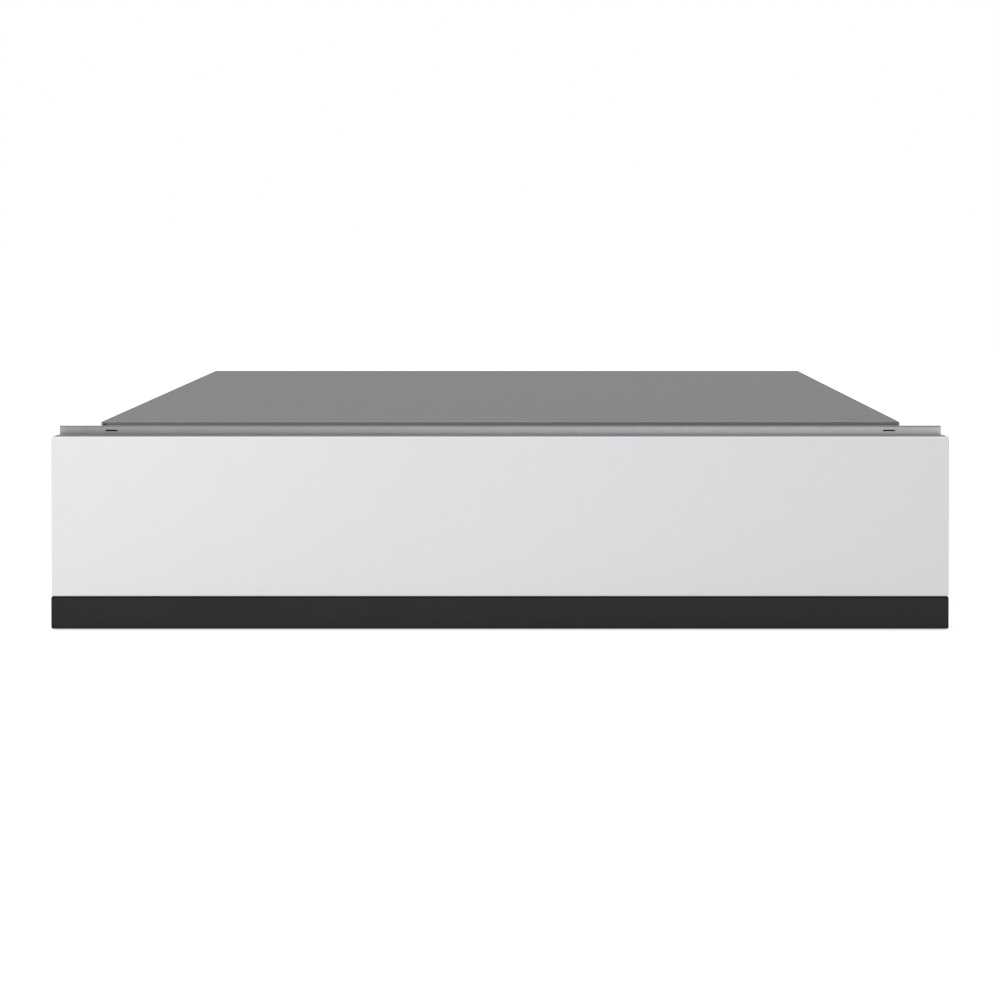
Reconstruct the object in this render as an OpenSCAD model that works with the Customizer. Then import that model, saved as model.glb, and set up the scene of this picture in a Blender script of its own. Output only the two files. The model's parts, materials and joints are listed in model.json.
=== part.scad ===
// Built-in vacuum sealing drawer: a sheet metal housing on feet, with a drawer on ball runners.
// The drawer holds a vacuum chamber under a hinged glass lid, and the pump behind the chamber.
// X runs to the right, Y from the front to the back and Z up, with the floor at Z = 0.
// Inside the modules Y is the depth behind the front face, and from_front() moves it to the origin.

/* [Front] */
// Width of the glass front
front_w = 595; // [570:1:640]
// Height of the front, glass and strip together
front_h = 127.5; // [120:0.5:150]
// Height of the dark strip along the lower edge
strip_h = 21.4; // [12:0.2:40]
// Gap between the glass and the strip
strip_joint = 0.3; // [0.2:0.1:1]
// Thickness of the glass and of the strip
glass_t = 4; // [3:0.5:6]
// Corner radius of the glass and of the strip, seen from ahead
front_corner_r = 1; // [0.5:0.1:3]
// Height of the front's lower edge above the floor
front_lift = 0.8; // [0.5:0.1:2]
// Depth of the steel carrier behind the glass
carrier_d = 15; // [12:0.5:25]
// Sheet thickness of the carrier
carrier_t = 1.2; // [0.8:0.1:2]
// How far the carrier's edges lie inside those of the glass
carrier_inset = 0.3; // [0.2:0.1:3]
// Width of the carrier's rim that is folded in at its back
carrier_rim_w = 30; // [22:1:40]
// Gap between the closed front and the frame
front_gap = 4; // [3.5:0.5:8]
// Width of the clips that hold the strip
clip_w = 20; // [10:1:30]
// Thickness of the clips
clip_t = 1.5; // [1:0.1:2.5]
// Number of clips
clip_n = 4; // [2:1:6]

/* [Housing] */
// Outer width of the housing
housing_w = 539; // [530:1:545]
// Sheet thickness of the housing
sheet_t = 1; // [0.8:0.1:1.5]
// Height of the feet
foot_h = 2.5; // [2:0.5:6]
// Radius of the feet
foot_r = 10; // [6:1:15]
// Distance from the housing's edges to the centres of the feet
foot_in = 30; // [20:1:60]
// Width of the lips folded on the base and on the cover
lip_w = 12; // [10:0.5:14]
// How far the cover's lip at the front reaches down
front_lip_w = 4; // [2:0.5:6]
// Depth of the space behind the drawer
rear_space = 48; // [45:1:80]
// Height of the cover's top above the frame's top edge
cover_rise = 2.4; // [1.5:0.1:5]
// Distance from the frame to the cover's front edge
cover_setback = 3.8; // [2:0.1:8]
// Number of vent slots in each field of the rear panel
vent_n = 14; // [6:1:18]
// Width of a vent slot
vent_w = 3; // [2:0.5:4]
// Height of a vent slot
vent_h = 34; // [20:1:45]
// Spacing of the vent slots
vent_pitch = 7; // [5:0.5:8]

/* [Frame] */
// Sheet thickness of the frame
frame_t = 1.2; // [0.8:0.1:2]
// How far the frame's ears reach past the housing on each side
ear_w = 27; // [24:1:35]
// Height of the frame's lower rail above the base sheet
sill_h = 2.5; // [1.5:0.5:4]
// Height of the frame's upper rail
top_rail_h = 6.6; // [5:0.2:12]
// Depth of the frame's tabs that are screwed to the side panels
tab_d = 16; // [14:1:25]
// Radius of the mounting holes in the ears
ear_hole_r = 2.25; // [2:0.05:3]
// Height between the mounting holes
ear_hole_pitch = 80; // [60:1:90]
// Height of the lower mounting holes above the floor
ear_hole_z = 25; // [20:1:30]
// Width of the slots in the frame's upper rail
rail_slot_w = 8; // [5:0.5:15]
// Height of the slots in the frame's upper rail
rail_slot_h = 1; // [0.8:0.1:1.5]
// Radius of the bumper pads
pad_r = 6; // [4:0.5:8]
// Height between a mounting hole and the bumper pad next to it
pad_in = 20; // [14:1:26]

/* [Runners] */
// How far the drawer opens
travel = 450; // [400:5:460]
// Length of the runner members
runner_l = 470; // [462:1:476]
// Thickness of a runner, from the side panel to the drawer
runner_t = 12.7; // [12.4:0.1:14]
// Height of the outer runner member
runner_h = 45; // [42:1:50]
// Height of the runners' middle above the drawer's underside
runner_rise = 44.5; // [40:0.5:48]
// Sheet thickness of the runner members
runner_sheet = 1.2; // [1:0.05:1.3]
// Diameter of the bearing balls
ball_d = 3.2; // [2.8:0.1:3.5]
// Spacing of the balls along a cage
ball_pitch = 14; // [10:1:20]
// Number of balls in a row
ball_n = 9; // [6:1:11]
// Radius of the runner rivets' shanks
rivet_r = 2; // [1.5:0.1:2.5]

/* [Push latch] */
// How far the closed front can be pressed in
press_travel = 2.5; // [1.5:0.1:3]
// How far the latch plunger can be pressed in
plunger_travel = 3; // [2:0.1:4]
// Radius of the latch plunger
plunger_r = 4; // [3.5:0.1:5]
// Length of the latch plunger
plunger_l = 30; // [26:1:34]
// Width and height of the latch body
latch_w = 26; // [20:1:36]
// Diameter of the latch spring's wire
latch_wire = 0.8; // [0.6:0.1:1]
// Number of turns of the latch spring
latch_turns = 12; // [8:1:14]

/* [Drawer] */
// Clearance between the frame's lower rail and the drawer
drawer_clear = 2; // [1:0.5:4]
// Sheet thickness of the drawer pan
pan_t = 1; // [0.8:0.1:1.5]
// Width of the lips that carry the deck
deck_lip_w = 12; // [11:0.5:16]
// Thickness of the deck plate
deck_t = 1.2; // [1:0.1:2]
// Length of the bay behind the chamber
bay_l = 191; // [188:1:230]
// Height between the closed lid and the frame's upper rail
headroom = 19.4; // [19:0.2:40]

/* [Chamber] */
// Inner width of the chamber
chamber_w = 360; // [330:1:370]
// Inner length of the chamber, front to back
chamber_l = 240; // [225:1:280]
// Height from the chamber's floor to the top of its rim
chamber_h = 80; // [79:1:110]
// Wall thickness of the chamber
chamber_t = 1.5; // [1:0.1:2]
// Inner corner radius of the chamber
chamber_r = 20; // [12:1:24]
// Gap between the drawer's bottom sheet and the chamber
chamber_clear = 2.5; // [1:0.5:5]
// Width of the rim around the chamber
rim_w = 12; // [11:0.5:16]
// Height of the gasket
gasket_h = 4; // [3:0.5:6]
// Width of the gasket
gasket_w = 7; // [5:0.5:8]
// Gap that the weight of the resting lid leaves open above the gasket
gasket_gap = 0.6; // [0.5:0.1:0.9]
// Outer radius of the suction port's collar
port_r = 11; // [9:0.5:14]
// Outer radius of the hoses and of the nipples' collars
hose_r = 5; // [4:0.5:5.5]

/* [Sealing bar] */
// Gap between each end of the sealing bar and the chamber's side
bar_end_gap = 15; // [13:0.5:40]
// Width of the sealing bar
bar_w = 12; // [10:0.5:16]
// Height of the sealing bar
bar_h = 20; // [14:0.5:22]
// Gap between the chamber's front wall and the sealing bar
bar_gap = 8; // [7:0.5:12]
// Lift of the sealing bar
bar_lift = 6; // [4:0.5:7]
// Gap that is left for the bag when the bar is up
bag_gap = 0.7; // [0.6:0.1:1]
// Width of the heating band
band_w = 5; // [3:0.5:7]
// Thickness of the heating band
band_t = 1; // [0.5:0.1:1.5]
// Thickness of the tape over the heating band
tape_t = 0.3; // [0.2:0.05:0.5]
// Radius of the lift posts
post_r = 4; // [3:0.1:5]
// Distance between the lift posts
post_pitch = 240; // [200:1:260]
// Outer radius of the lift sleeves
sleeve_r = 9; // [7:0.5:10]
// Height of the lift sleeves
sleeve_h = 28; // [20:1:32]
// Height of the silicone in the counter bar
silicone_h = 5.6; // [4:0.2:7]
// Height of the counter bar's holder
holder_h = 4; // [3:0.5:6]
// Width of the counter bar
counter_w = 14; // [10:0.5:14]

/* [Lid] */
// Thickness of the lid's glass
lid_t = 10; // [8:0.5:12]
// How far the lid reaches past the chamber's rim at the front and sides
lid_over = 8; // [4:0.5:9]
// How far the lid reaches past the chamber's rim at the back
lid_back_over = 10.5; // [9:0.5:14]
// Corner radius of the lid
lid_r = 12; // [5:1:20]
// Distance from the lid's back edge to the hinge line
hinge_off = 8; // [7.5:0.1:9]
// Height of the hinge line above the lid's underside
hinge_rise = 2.4; // [2:0.1:4]
// Radius of the hinge pins
pin_r = 3; // [2.5:0.1:3.5]
// Distance from the middle to each hinge bracket's middle
hinge_x = 135; // [110:1:140]
// Width of each hinge bracket
bracket_w = 50; // [40:1:60]
// Length of the bracket's upper jaw on the glass
jaw_l = 30; // [20:1:40]
// Thickness of the bracket's plates
bracket_t = 2; // [1.5:0.1:2.5]
// Thickness of the hinge mounts' ears
hinge_ear_t = 3.5; // [2.5:0.5:5]
// Thickness of the hinge mounts' base plates
hinge_base_t = 1.5; // [1:0.1:1.5]
// Diameter of the lid springs' wire
lid_wire = 1.6; // [1.2:0.1:1.8]
// Number of turns of each lid spring
lid_turns = 6; // [4:1:8]
// Width of the finger grip
grip_w = 60; // [40:1:90]
// Thickness of the finger grip's sheet
grip_t = 1.5; // [1:0.1:2]
// Length of the grip's upper jaw on the glass
grip_l = 14; // [8:0.5:20]

/* [Controls] */
// Width of the control panel
control_w = 300; // [240:1:340]
// Depth of the control panel
control_d = 18; // [14:0.5:24]
// Thickness of the control panel's glass
control_t = 3; // [2:0.5:4]
// Distance from the front to the control panel
control_in = 5; // [3:0.5:10]
// Gap between the control panel and the lid
control_gap = 5.5; // [4:0.5:10]
// Thickness of the circuit boards
board_t = 1.6; // [1:0.1:2]
// Length of the spacers between the deck and the control board
spacer_l = 3; // [2:0.5:6]

/* [Pump] */
// Outer radius of the pump housing
pump_r = 36; // [32:0.5:36.5]
// Length of the pump housing
pump_l = 50; // [40:1:56]
// Thickness of the pump's end cover
pump_cover_t = 6; // [4:0.5:8]
// Radius of the pump rotor
rotor_r = 24; // [20:0.5:25]
// Offset of the pump's bore from the shaft
pump_offset = 2.8; // [2:0.1:3.5]
// Radius of the pump's and motor's shaft
shaft_r = 5; // [4:0.1:6]
// Outer radius of the motor
motor_r = 34; // [31:0.5:36]
// Length of the motor
motor_l = 128; // [110:1:135]
// Wall thickness of the motor's case
motor_t = 2.5; // [2:0.5:4]
// Radius of the motor's rotor core
core_r = 17.5; // [14:0.5:19]
// Length of the motor's rotor core
core_l = 60; // [50:1:70]
// Distance from the drawer's back wall to the pump
pump_back_gap = 34; // [30:1:50]
// Height of the pump's rubber feet
mount_h = 4; // [3:0.5:5]
// Thickness of the pump's bracket
saddle_t = 1.5; // [1:0.1:2.5]

/* [Electrics] */
// Size of the fan's square frame
fan_w = 60; // [50:1:66]
// Depth of the fan
fan_d = 15; // [12:0.5:20]
// Radius of the fan's hub
hub_r = 12; // [9:0.5:14]
// Number of fan blades
blade_n = 7; // [5:1:9]
// Width of the inlet's socket
inlet_w = 24; // [22:0.5:28]
// Height of the inlet's socket
inlet_h = 17; // [15:0.5:20]
// Depth of the inlet's socket
inlet_d = 15; // [13:0.5:18]
// Gap between the power board and the walls beside it
power_gap = 9; // [5:0.5:14]
// Length of the power board
power_l = 200; // [160:1:220]
// Distance of the power board behind the drawer's front wall
power_set = 60; // [40:1:80]
// Height of the power board above the drawer's bottom
power_rise = 8; // [5:0.5:12]
// Height of the transformer
transformer_h = 56; // [45:1:60]
// Width of the transformer
transformer_w = 64; // [50:1:70]
// Length of the transformer with its winding
transformer_l = 68; // [56:1:80]
// Distance of the transformer's middle behind the chamber
transformer_set = 40; // [36:1:44]
// Gap between the transformer and the drawer's side
transformer_gap = 22; // [14:1:30]
// Distance of the valve block's middle behind the chamber
valve_set = 62; // [58:1:66]
// Width of the valve block
valve_l = 60; // [50:1:66]
// Depth of the valve block
valve_w = 30; // [24:1:34]
// Height of the valve block
valve_h = 34; // [30:1:40]

/* [Screws] */
// Radius of the screw heads
head_r = 3.5; // [3:0.1:4]
// Height of the screw heads
head_h = 2; // [1.5:0.1:2.5]
// Radius of the screw shanks
shank_r = 1.75; // [1.5:0.05:2]
// Length of the screw shanks
shank_l = 6; // [5:0.5:7]

/* [Hidden] */
$fn = 64;

// Clearances
seat = 0.3;            // between pieces that rest near each other
hole_clear = 0.1;      // around screws and rivets
run_clear = 0.05;      // around shafts and pins that turn
tight_clear = 0.02;    // around pins that are held
recess_d = 1;          // depth of the cross in a screw head
recess_w = 0.8;        // width of the cross in a screw head

// Depths behind the front face
drawer_front = glass_t + carrier_d;
frame_front = drawer_front + front_gap;
frame_back = frame_front + frame_t;
cover_front = frame_back + cover_setback;
control_front = drawer_front + control_in;
lid_front = control_front + control_d + control_gap;
rim_front = lid_front + lid_over;
chamber_front = rim_front + rim_w;
chamber_back = chamber_front + chamber_l;
rim_back = chamber_back + rim_w;
lid_back = rim_back + lid_back_over;
hinge_y = lid_back + hinge_off;
bay_front = chamber_back + chamber_t;
drawer_back = bay_front + bay_l;
housing_back = drawer_back + rear_space;
total_d = housing_back + head_h;
bar_front = chamber_front + bar_gap;
bar_y = bar_front + bar_w / 2;
bar_l = chamber_w - 2 * bar_end_gap;

// Heights
base_top = foot_h + sheet_t;
sill_top = base_top + sill_h;
pan_z = sill_top + drawer_clear;
pan_top = pan_z + pan_t;
chamber_z = pan_top + chamber_clear;
floor_z = chamber_z + chamber_t;
rim_top = floor_z + chamber_h;
deck_top = rim_top - chamber_t;
deck_z = deck_top - deck_t;
gasket_top = rim_top + gasket_h;
lid_z = gasket_top + gasket_gap;
lid_top = lid_z + lid_t;
opening_top = lid_top + headroom;
frame_top = opening_top + top_rail_h;
housing_top = frame_top + cover_rise;
cover_z = housing_top - sheet_t;
front_top = front_lift + front_h;
glass_z = front_lift + strip_h + strip_joint;
counter_z = lid_z - holder_h - silicone_h;
tape_top = counter_z - bar_lift - bag_gap;
bar_top = tape_top - tape_t - band_t;
bar_z = bar_top - bar_h;
hinge_z = lid_z + hinge_rise;
runner_z = pan_z + runner_rise;

// Half widths
side_out = housing_w / 2 - sheet_t;
side_in = side_out - sheet_t;
drawer_x = side_in - runner_t;
frame_x = housing_w / 2 + ear_w;
rim_x = chamber_w / 2 + rim_w;
lid_x = rim_x + lid_over;

module from_front() {
  translate([0, -total_d / 2, 0]) children();
}

// Box between two limits on each axis
module span(x, y, z) {
  translate([x[0], y[0], z[0]]) cube([x[1] - x[0], y[1] - y[0], z[1] - z[0]]);
}

// Box in the middle, with a half width
module middle(half, y, z) {
  span([-half, half], y, z);
}

module both_sides() {
  children();
  mirror([1, 0, 0]) children();
}

// The piece made for the left side, or its mirror image on the right
module on_side(right) {
  mirror([right ? 1 : 0, 0, 0]) children();
}

// Flat rectangle with round corners between two limits on each axis
module round_rect(x, y, r) {
  translate([x[0] + r, y[0]]) square([x[1] - x[0] - 2 * r, y[1] - y[0]]);
  translate([x[0], y[0] + r]) square([x[1] - x[0], y[1] - y[0] - 2 * r]);
  for (cx = [x[0] + r, x[1] - r], cy = [y[0] + r, y[1] - r]) translate([cx, cy]) circle(r = r);
}

module round_plate(x, y, z, r) {
  translate([0, 0, z[0]]) linear_extrude(height = z[1] - z[0]) round_rect(x, y, r);
}

// Plate that stands upright, with round corners as seen from the front
module upright_plate(half, y, z, r) {
  translate([0, y[1], 0]) rotate([90, 0, 0])
    linear_extrude(height = y[1] - y[0]) round_rect([-half, half], z, r);
}

// Evenly spaced places from low to high
function row(n, low, high) = [for (i = [0:n - 1]) low + (high - low) * i / (n - 1)];

// Screw with its head above Z = 0 and its shank below
module screw(length) {
  difference() {
    cylinder(r = head_r, h = head_h);
    for (turn = [0, 90]) rotate([0, 0, turn]) translate([0, 0, head_h])
      middle(head_r * 0.55, [-recess_w / 2, recess_w / 2], [-recess_d, 1]);
  }
  translate([0, 0, -length]) cylinder(r = shank_r, h = length);
}

module screw_hole() {
  translate([0, 0, -shank_l - 1]) cylinder(r = shank_r + hole_clear, h = shank_l + 2);
}

// Rivet through a stack that ends at Z = 0, with a low head at each end
module rivet(stack) {
  cylinder(r = rivet_r * 1.6, h = rivet_r * 0.6);
  translate([0, 0, -stack]) cylinder(r = rivet_r, h = stack);
  translate([0, 0, -stack - rivet_foot]) cylinder(r = rivet_r * 1.5, h = rivet_foot);
}
rivet_foot = 0.5;

module rivet_hole() {
  translate([0, 0, -runner_t]) cylinder(r = rivet_r + hole_clear, h = 2 * runner_t);
}

function unit(v) = v / norm(v);
function tangents(p) = [for (i = [0:len(p) - 1]) unit(p[min(i + 1, len(p) - 1)] - p[max(i - 1, 0)])];

// Rings of points around a path
function rings(p, r, n, ref) =
  let (t = tangents(p))
  [for (i = [0:len(p) - 1])
    let (u = unit(cross(t[i], ref)), v = cross(t[i], u))
    for (k = [0:n - 1]) p[i] + r * (cos(360 * k / n) * u + sin(360 * k / n) * v)];

// Tube of round section along a path
module tube(p, r, n, ref) {
  m = len(p);
  start = [for (k = [1:n - 2]) [0, k, k + 1]];
  end = [for (k = [1:n - 2]) [(m - 1) * n, (m - 1) * n + k + 1, (m - 1) * n + k]];
  sides = [for (i = [0:m - 2], k = [0:n - 1]) let (a = i * n + k, b = i * n + (k + 1) % n)
    each [[a, a + n, b + n], [a, b + n, b]]];
  polyhedron(points = rings(p, r, n, ref), faces = concat(start, end, sides));
}

// Point on a smooth curve that leaves a towards b and reaches d from c
function curve_point(a, b, c, d, t) =
  pow(1 - t, 3) * a + 3 * t * pow(1 - t, 2) * b + 3 * t * t * (1 - t) * c + pow(t, 3) * d;
function curve_path(a, b, c, d, n) = [for (i = [0:n]) curve_point(a, b, c, d, i / n)];

// Front

module front_glass() {
  color("gainsboro") from_front()
    upright_plate(front_w / 2, [0, glass_t], [glass_z, front_top], front_corner_r);
}

module design_strip() {
  color("#2d282a") from_front()
    upright_plate(front_w / 2, [0, glass_t], [front_lift, front_lift + strip_h], front_corner_r);
}

carrier_x = front_w / 2 - carrier_inset;
carrier_low = front_lift + carrier_inset;
carrier_high = front_top - carrier_inset;
clip_h = 9;            // height of a strip clip
clip_z = front_lift + strip_h / 2 - clip_h / 2;
clip_slot = 0.2;       // clearance of a clip in its slot

module at_clips() {
  for (x = row(clip_n, -front_w * 0.4, front_w * 0.4)) translate([x, 0, 0]) children();
}

// Screws through the drawer's front wall into the carrier's folded rim
carrier_screw_z = pan_top + 11;

module at_carrier_screws() {
  for (x = row(6, -drawer_x + 24, drawer_x - 24))
    translate([x, drawer_front + pan_t, carrier_screw_z]) rotate([-90, 0, 0]) children();
}

module front_carrier() {
  color("dimgray") from_front() difference() {
    middle(carrier_x, [glass_t, drawer_front], [carrier_low, carrier_high]);
    middle(carrier_x - carrier_t, [glass_t + carrier_t, drawer_front - carrier_t],
      [carrier_low + carrier_t, carrier_high - carrier_t]);
    middle(carrier_x - carrier_rim_w, [drawer_front - 2 * carrier_t, drawer_front + 1],
      [carrier_low + carrier_rim_w, carrier_high - carrier_rim_w]);
    at_clips() middle(clip_w / 2 + clip_slot, [glass_t - 1, glass_t + carrier_t + 1],
      [clip_z - clip_slot, clip_z + clip_h + clip_slot]);
    at_carrier_screws() screw_hole();
  }
}

module strip_clips() {
  color("#303030") from_front() at_clips() {
    middle(clip_w / 2, [glass_t, glass_t + carrier_t + clip_t], [clip_z, clip_z + clip_h]);
    middle(clip_w / 2, [glass_t + carrier_t + clip_slot, glass_t + carrier_t + clip_t],
      [clip_z - 2, clip_z + clip_h + 2]);
  }
}

// Housing

tab_low = base_top + lip_w + 2;
tab_high = cover_z - lip_w - 2;
pad_t = front_gap - press_travel - seat;
ear_x = housing_w / 2 + ear_w / 2;
rail_slot_x = side_in - 6;
rail_slot_z = opening_top + top_rail_h / 2;

module at_ear_holes() {
  for (side = [-1, 1], z = [ear_hole_z, ear_hole_z + ear_hole_pitch])
    translate([side * ear_x, frame_front, z]) rotate([90, 0, 0]) children();
}

// Screws through the frame's tabs into the side panels
module at_tab_screws() {
  for (side = [-1, 1], z = [tab_low + 5, tab_high - 5])
    translate([side * (side_out + frame_t), frame_back + tab_d / 2, z]) rotate([0, side * 90, 0]) children();
}

lip_screw_in = 50;     // distance of the outer lip screws from the side panels' ends
back_screw_in = 40;    // distance of the outer lip screws from the rear panel's ends

// Screws through the lips of the base and of the cover into the side and rear panels
module at_lip_screws() {
  z_low = base_top + lip_w / 2;
  z_high = cover_z - lip_w / 2;
  depths = row(3, frame_back + lip_screw_in, housing_back - lip_screw_in);
  for (side = [-1, 1], y = depths, z = [z_low, z_high])
    translate([side * housing_w / 2, y, z]) rotate([0, side * 90, 0]) children();
  for (x = row(3, -side_in + back_screw_in, side_in - back_screw_in), z = [z_low, z_high])
    translate([x, housing_back, z]) rotate([-90, 0, 0]) children();
}

// Rivets through the side panels into the outer runner members
rivet_in = 40;         // distance of the outer rivets from the runner's ends
rivet_places = row(3, frame_back + rivet_in, frame_back + runner_l - rivet_in);

module at_runner_rivets() {
  for (side = [-1, 1], y = rivet_places)
    translate([side * side_out, y, runner_z]) rotate([0, side * 90, 0]) children();
}

module front_frame() {
  color("#a8a8ac") from_front() {
    difference() {
      middle(frame_x, [frame_front, frame_back], [foot_h + sheet_t / 2, frame_top]);
      middle(side_in, [frame_front - 1, frame_back + 1], [sill_top, opening_top]);
      both_sides() span([rail_slot_x - rail_slot_w / 2, rail_slot_x + rail_slot_w / 2],
        [frame_front - 1, frame_back + 1], [rail_slot_z - rail_slot_h / 2, rail_slot_z + rail_slot_h / 2]);
      at_ear_holes() translate([0, 0, -frame_t - 1]) cylinder(r = ear_hole_r, h = frame_t + 2);
    }
    difference() {
      both_sides() span([side_out, side_out + frame_t], [frame_back, frame_back + tab_d],
        [tab_low, tab_high]);
      at_tab_screws() screw_hole();
    }
  }
}

module bumper_pads() {
  heights = [ear_hole_z + pad_in, ear_hole_z + ear_hole_pitch - pad_in];
  color("#202020") from_front() for (side = [-1, 1], z = heights)
    translate([side * ear_x, frame_front, z]) rotate([90, 0, 0]) cylinder(r = pad_r, h = pad_t);
}

module housing_base() {
  color("#8c8c8c") from_front() difference() {
    union() {
      middle(housing_w / 2, [frame_back, housing_back], [foot_h, base_top]);
      both_sides() span([side_out, housing_w / 2], [frame_back, housing_back], [base_top, base_top + lip_w]);
      middle(side_out, [housing_back - sheet_t, housing_back], [base_top, base_top + lip_w]);
    }
    at_lip_screws() screw_hole();
  }
}

module side_panel(right) {
  on_side(right) difference() {
    span([-side_out, -side_in], [frame_back, housing_back - sheet_t], [base_top, cover_z]);
    at_lip_screws() screw_hole();
    at_tab_screws() screw_hole();
    at_runner_rivets() rivet_hole();
  }
}

module side_panel_left() {
  color("#8c8c8c") from_front() side_panel(false);
}

module side_panel_right() {
  color("#8c8c8c") from_front() side_panel(true);
}

inlet_in = 77.5;       // distance of the mains inlet's middle from the left side panel
inlet_z = 75;          // height of the mains inlet's middle
inlet_wall = 1.5;      // wall of the inlet around its socket
inlet_rim = 3.5;       // how far the inlet's flange reaches past its walls
inlet_x = -side_in + inlet_in;
vent_in = 75;          // distance of the right vent field's middle from the right side panel
vent_off = -75;        // place of the other vent field's middle across the rear panel
vent_z = runner_z;

module vent_field(x) {
  for (i = [0:vent_n - 1]) translate([x + (i - (vent_n - 1) / 2) * vent_pitch, 0, vent_z])
    middle(vent_w / 2, [housing_back - 2 * sheet_t - 1, housing_back], [-vent_h / 2, vent_h / 2]);
}

module rear_panel() {
  color("#8c8c8c") from_front() difference() {
    middle(side_in, [housing_back - 2 * sheet_t, housing_back - sheet_t], [base_top, cover_z]);
    at_lip_screws() screw_hole();
    vent_field(side_in - vent_in);
    vent_field(vent_off);
    translate([inlet_x, 0, inlet_z]) middle(inlet_w / 2 + inlet_wall + hole_clear,
      [housing_back - 2 * sheet_t - 1, housing_back],
      [-inlet_h / 2 - inlet_wall - hole_clear, inlet_h / 2 + inlet_wall + hole_clear]);
  }
}

module top_cover() {
  color("#888888") from_front() difference() {
    union() {
      middle(housing_w / 2, [cover_front, housing_back], [cover_z, housing_top]);
      both_sides() span([side_out, housing_w / 2], [cover_front, housing_back], [cover_z - lip_w, cover_z]);
      middle(side_out, [housing_back - sheet_t, housing_back], [cover_z - lip_w, cover_z]);
      middle(side_in, [cover_front, cover_front + sheet_t], [cover_z - front_lip_w, cover_z]);
    }
    at_lip_screws() screw_hole();
  }
}

module housing_screws() {
  color("silver") from_front() {
    at_lip_screws() screw(shank_l);
    at_tab_screws() screw(shank_l);
  }
}

module feet() {
  x = housing_w / 2 - foot_in;
  color("#202020") from_front() for (y = [frame_back + foot_in, housing_back - foot_in])
    both_sides() translate([x, y, 0]) cylinder(r = foot_r, h = foot_h);
}

pin_w = 4;             // width of an inlet pin
inlet_pin_t = 2;       // thickness of an inlet pin
inlet_pin_pitch = 7;   // distance of the outer inlet pins from the middle

module mains_inlet() {
  back = housing_back - sheet_t;
  color("#252525") from_front() translate([inlet_x, 0, inlet_z]) {
    difference() {
      union() {
        middle(inlet_w / 2 + inlet_wall, [back - inlet_d - inlet_wall, back],
          [-inlet_h / 2 - inlet_wall, inlet_h / 2 + inlet_wall]);
        middle(inlet_w / 2 + inlet_wall + inlet_rim, [back, back + sheet_t],
          [-inlet_h / 2 - inlet_wall - inlet_rim, inlet_h / 2 + inlet_wall + inlet_rim]);
      }
      middle(inlet_w / 2, [back - inlet_d, back + sheet_t + 1], [-inlet_h / 2, inlet_h / 2]);
    }
    for (x = [-inlet_pin_pitch, 0, inlet_pin_pitch])
      translate([x, 0, x == 0 ? -inlet_pin_t : inlet_pin_t])
        middle(inlet_pin_t / 2, [back - inlet_d, back - 2], [-pin_w / 2, pin_w / 2]);
  }
}

// Runners
// A member's section has U from the side panel towards the drawer and V up from the runner's middle.

ball_gap = ball_d + 2 * run_clear;
outer_v = runner_h / 2;
middle_v = outer_v - runner_sheet - ball_gap;
inner_v = middle_v - runner_sheet - ball_gap;
middle_u = runner_sheet + 0.8;
inner_u = runner_t - runner_sheet;
ball_u = runner_t * 0.55;
runner_front = frame_back + 5;
runner_back = runner_front + runner_l;
cage_l = ball_pitch * ball_n;
cage_front = runner_front + runner_l * 0.28;

// Channel section: web between u0 and u0 + sheet, flanges towards the other limit
module channel(web_u, tip_u, v) {
  low = min(web_u, tip_u);
  high = max(web_u, tip_u);
  web_low = web_u < tip_u ? web_u : web_u - runner_sheet;
  span([side_in - web_low - runner_sheet, side_in - web_low], [runner_front, runner_back], [-v, v]);
  for (z = [-v, v - runner_sheet])
    span([side_in - high, side_in - low], [runner_front, runner_back], [z, z + runner_sheet]);
}

module runner_outer(right) {
  color("silver") from_front() difference() {
    on_side(!right) translate([0, 0, runner_z]) channel(0, runner_t - runner_sheet, outer_v);
    at_runner_rivets() rivet_hole();
  }
}

module runner_middle(right) {
  color("lightgray") from_front() on_side(!right) translate([0, 0, runner_z])
    channel(middle_u, runner_t - runner_sheet - 0.5, middle_v);
}

module runner_inner(right) {
  color("silver") from_front() difference() {
    on_side(!right) translate([0, 0, runner_z]) channel(runner_t, runner_t * 0.35, inner_v);
    at_drawer_rivets() rivet_hole();
  }
}

// Strip that holds one row of balls, and the balls in it
module ball_row(v) {
  strip_v = ball_d * 0.3;
  strip_u = ball_d * 0.75;
  x = side_in - ball_u;
  difference() {
    span([x - strip_u, x + strip_u], [cage_front, cage_front + cage_l], [v - strip_v, v + strip_v]);
    for (i = [0:ball_n - 1]) translate([x, cage_front + (i + 0.5) * ball_pitch, v - ball_d])
      cylinder(r = ball_d / 2 + run_clear, h = 2 * ball_d);
  }
  for (i = [0:ball_n - 1]) translate([x, cage_front + (i + 0.5) * ball_pitch, v]) sphere(r = ball_d / 2);
}

module ball_cages(v) {
  color("gold") from_front() both_sides() translate([0, 0, runner_z]) {
    ball_row(v);
    ball_row(-v);
  }
}

outer_ball_v = outer_v - runner_sheet - ball_gap / 2;
inner_ball_v = middle_v - runner_sheet - ball_gap / 2;

module runner_outer_left() { runner_outer(false); }
module runner_outer_right() { runner_outer(true); }
module runner_middle_left() { runner_middle(false); }
module runner_middle_right() { runner_middle(true); }
module runner_inner_left() { runner_inner(false); }
module runner_inner_right() { runner_inner(true); }
module ball_cages_outer() { ball_cages(outer_ball_v); }
module ball_cages_inner() { ball_cages(inner_ball_v); }

module runner_rivets() {
  color("silver") from_front() at_runner_rivets() rivet(sheet_t + runner_sheet);
}

// Rivets from inside the drawer into the inner runner members
module at_drawer_rivets() {
  for (side = [-1, 1], y = rivet_places)
    translate([side * (drawer_x - pan_t), y, runner_z]) rotate([0, -side * 90, 0]) children();
}

module drawer_rivets() {
  color("silver") from_front() at_drawer_rivets() rivet(pan_t + runner_sheet);
}

// Push latch, on the rear panel

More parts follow.
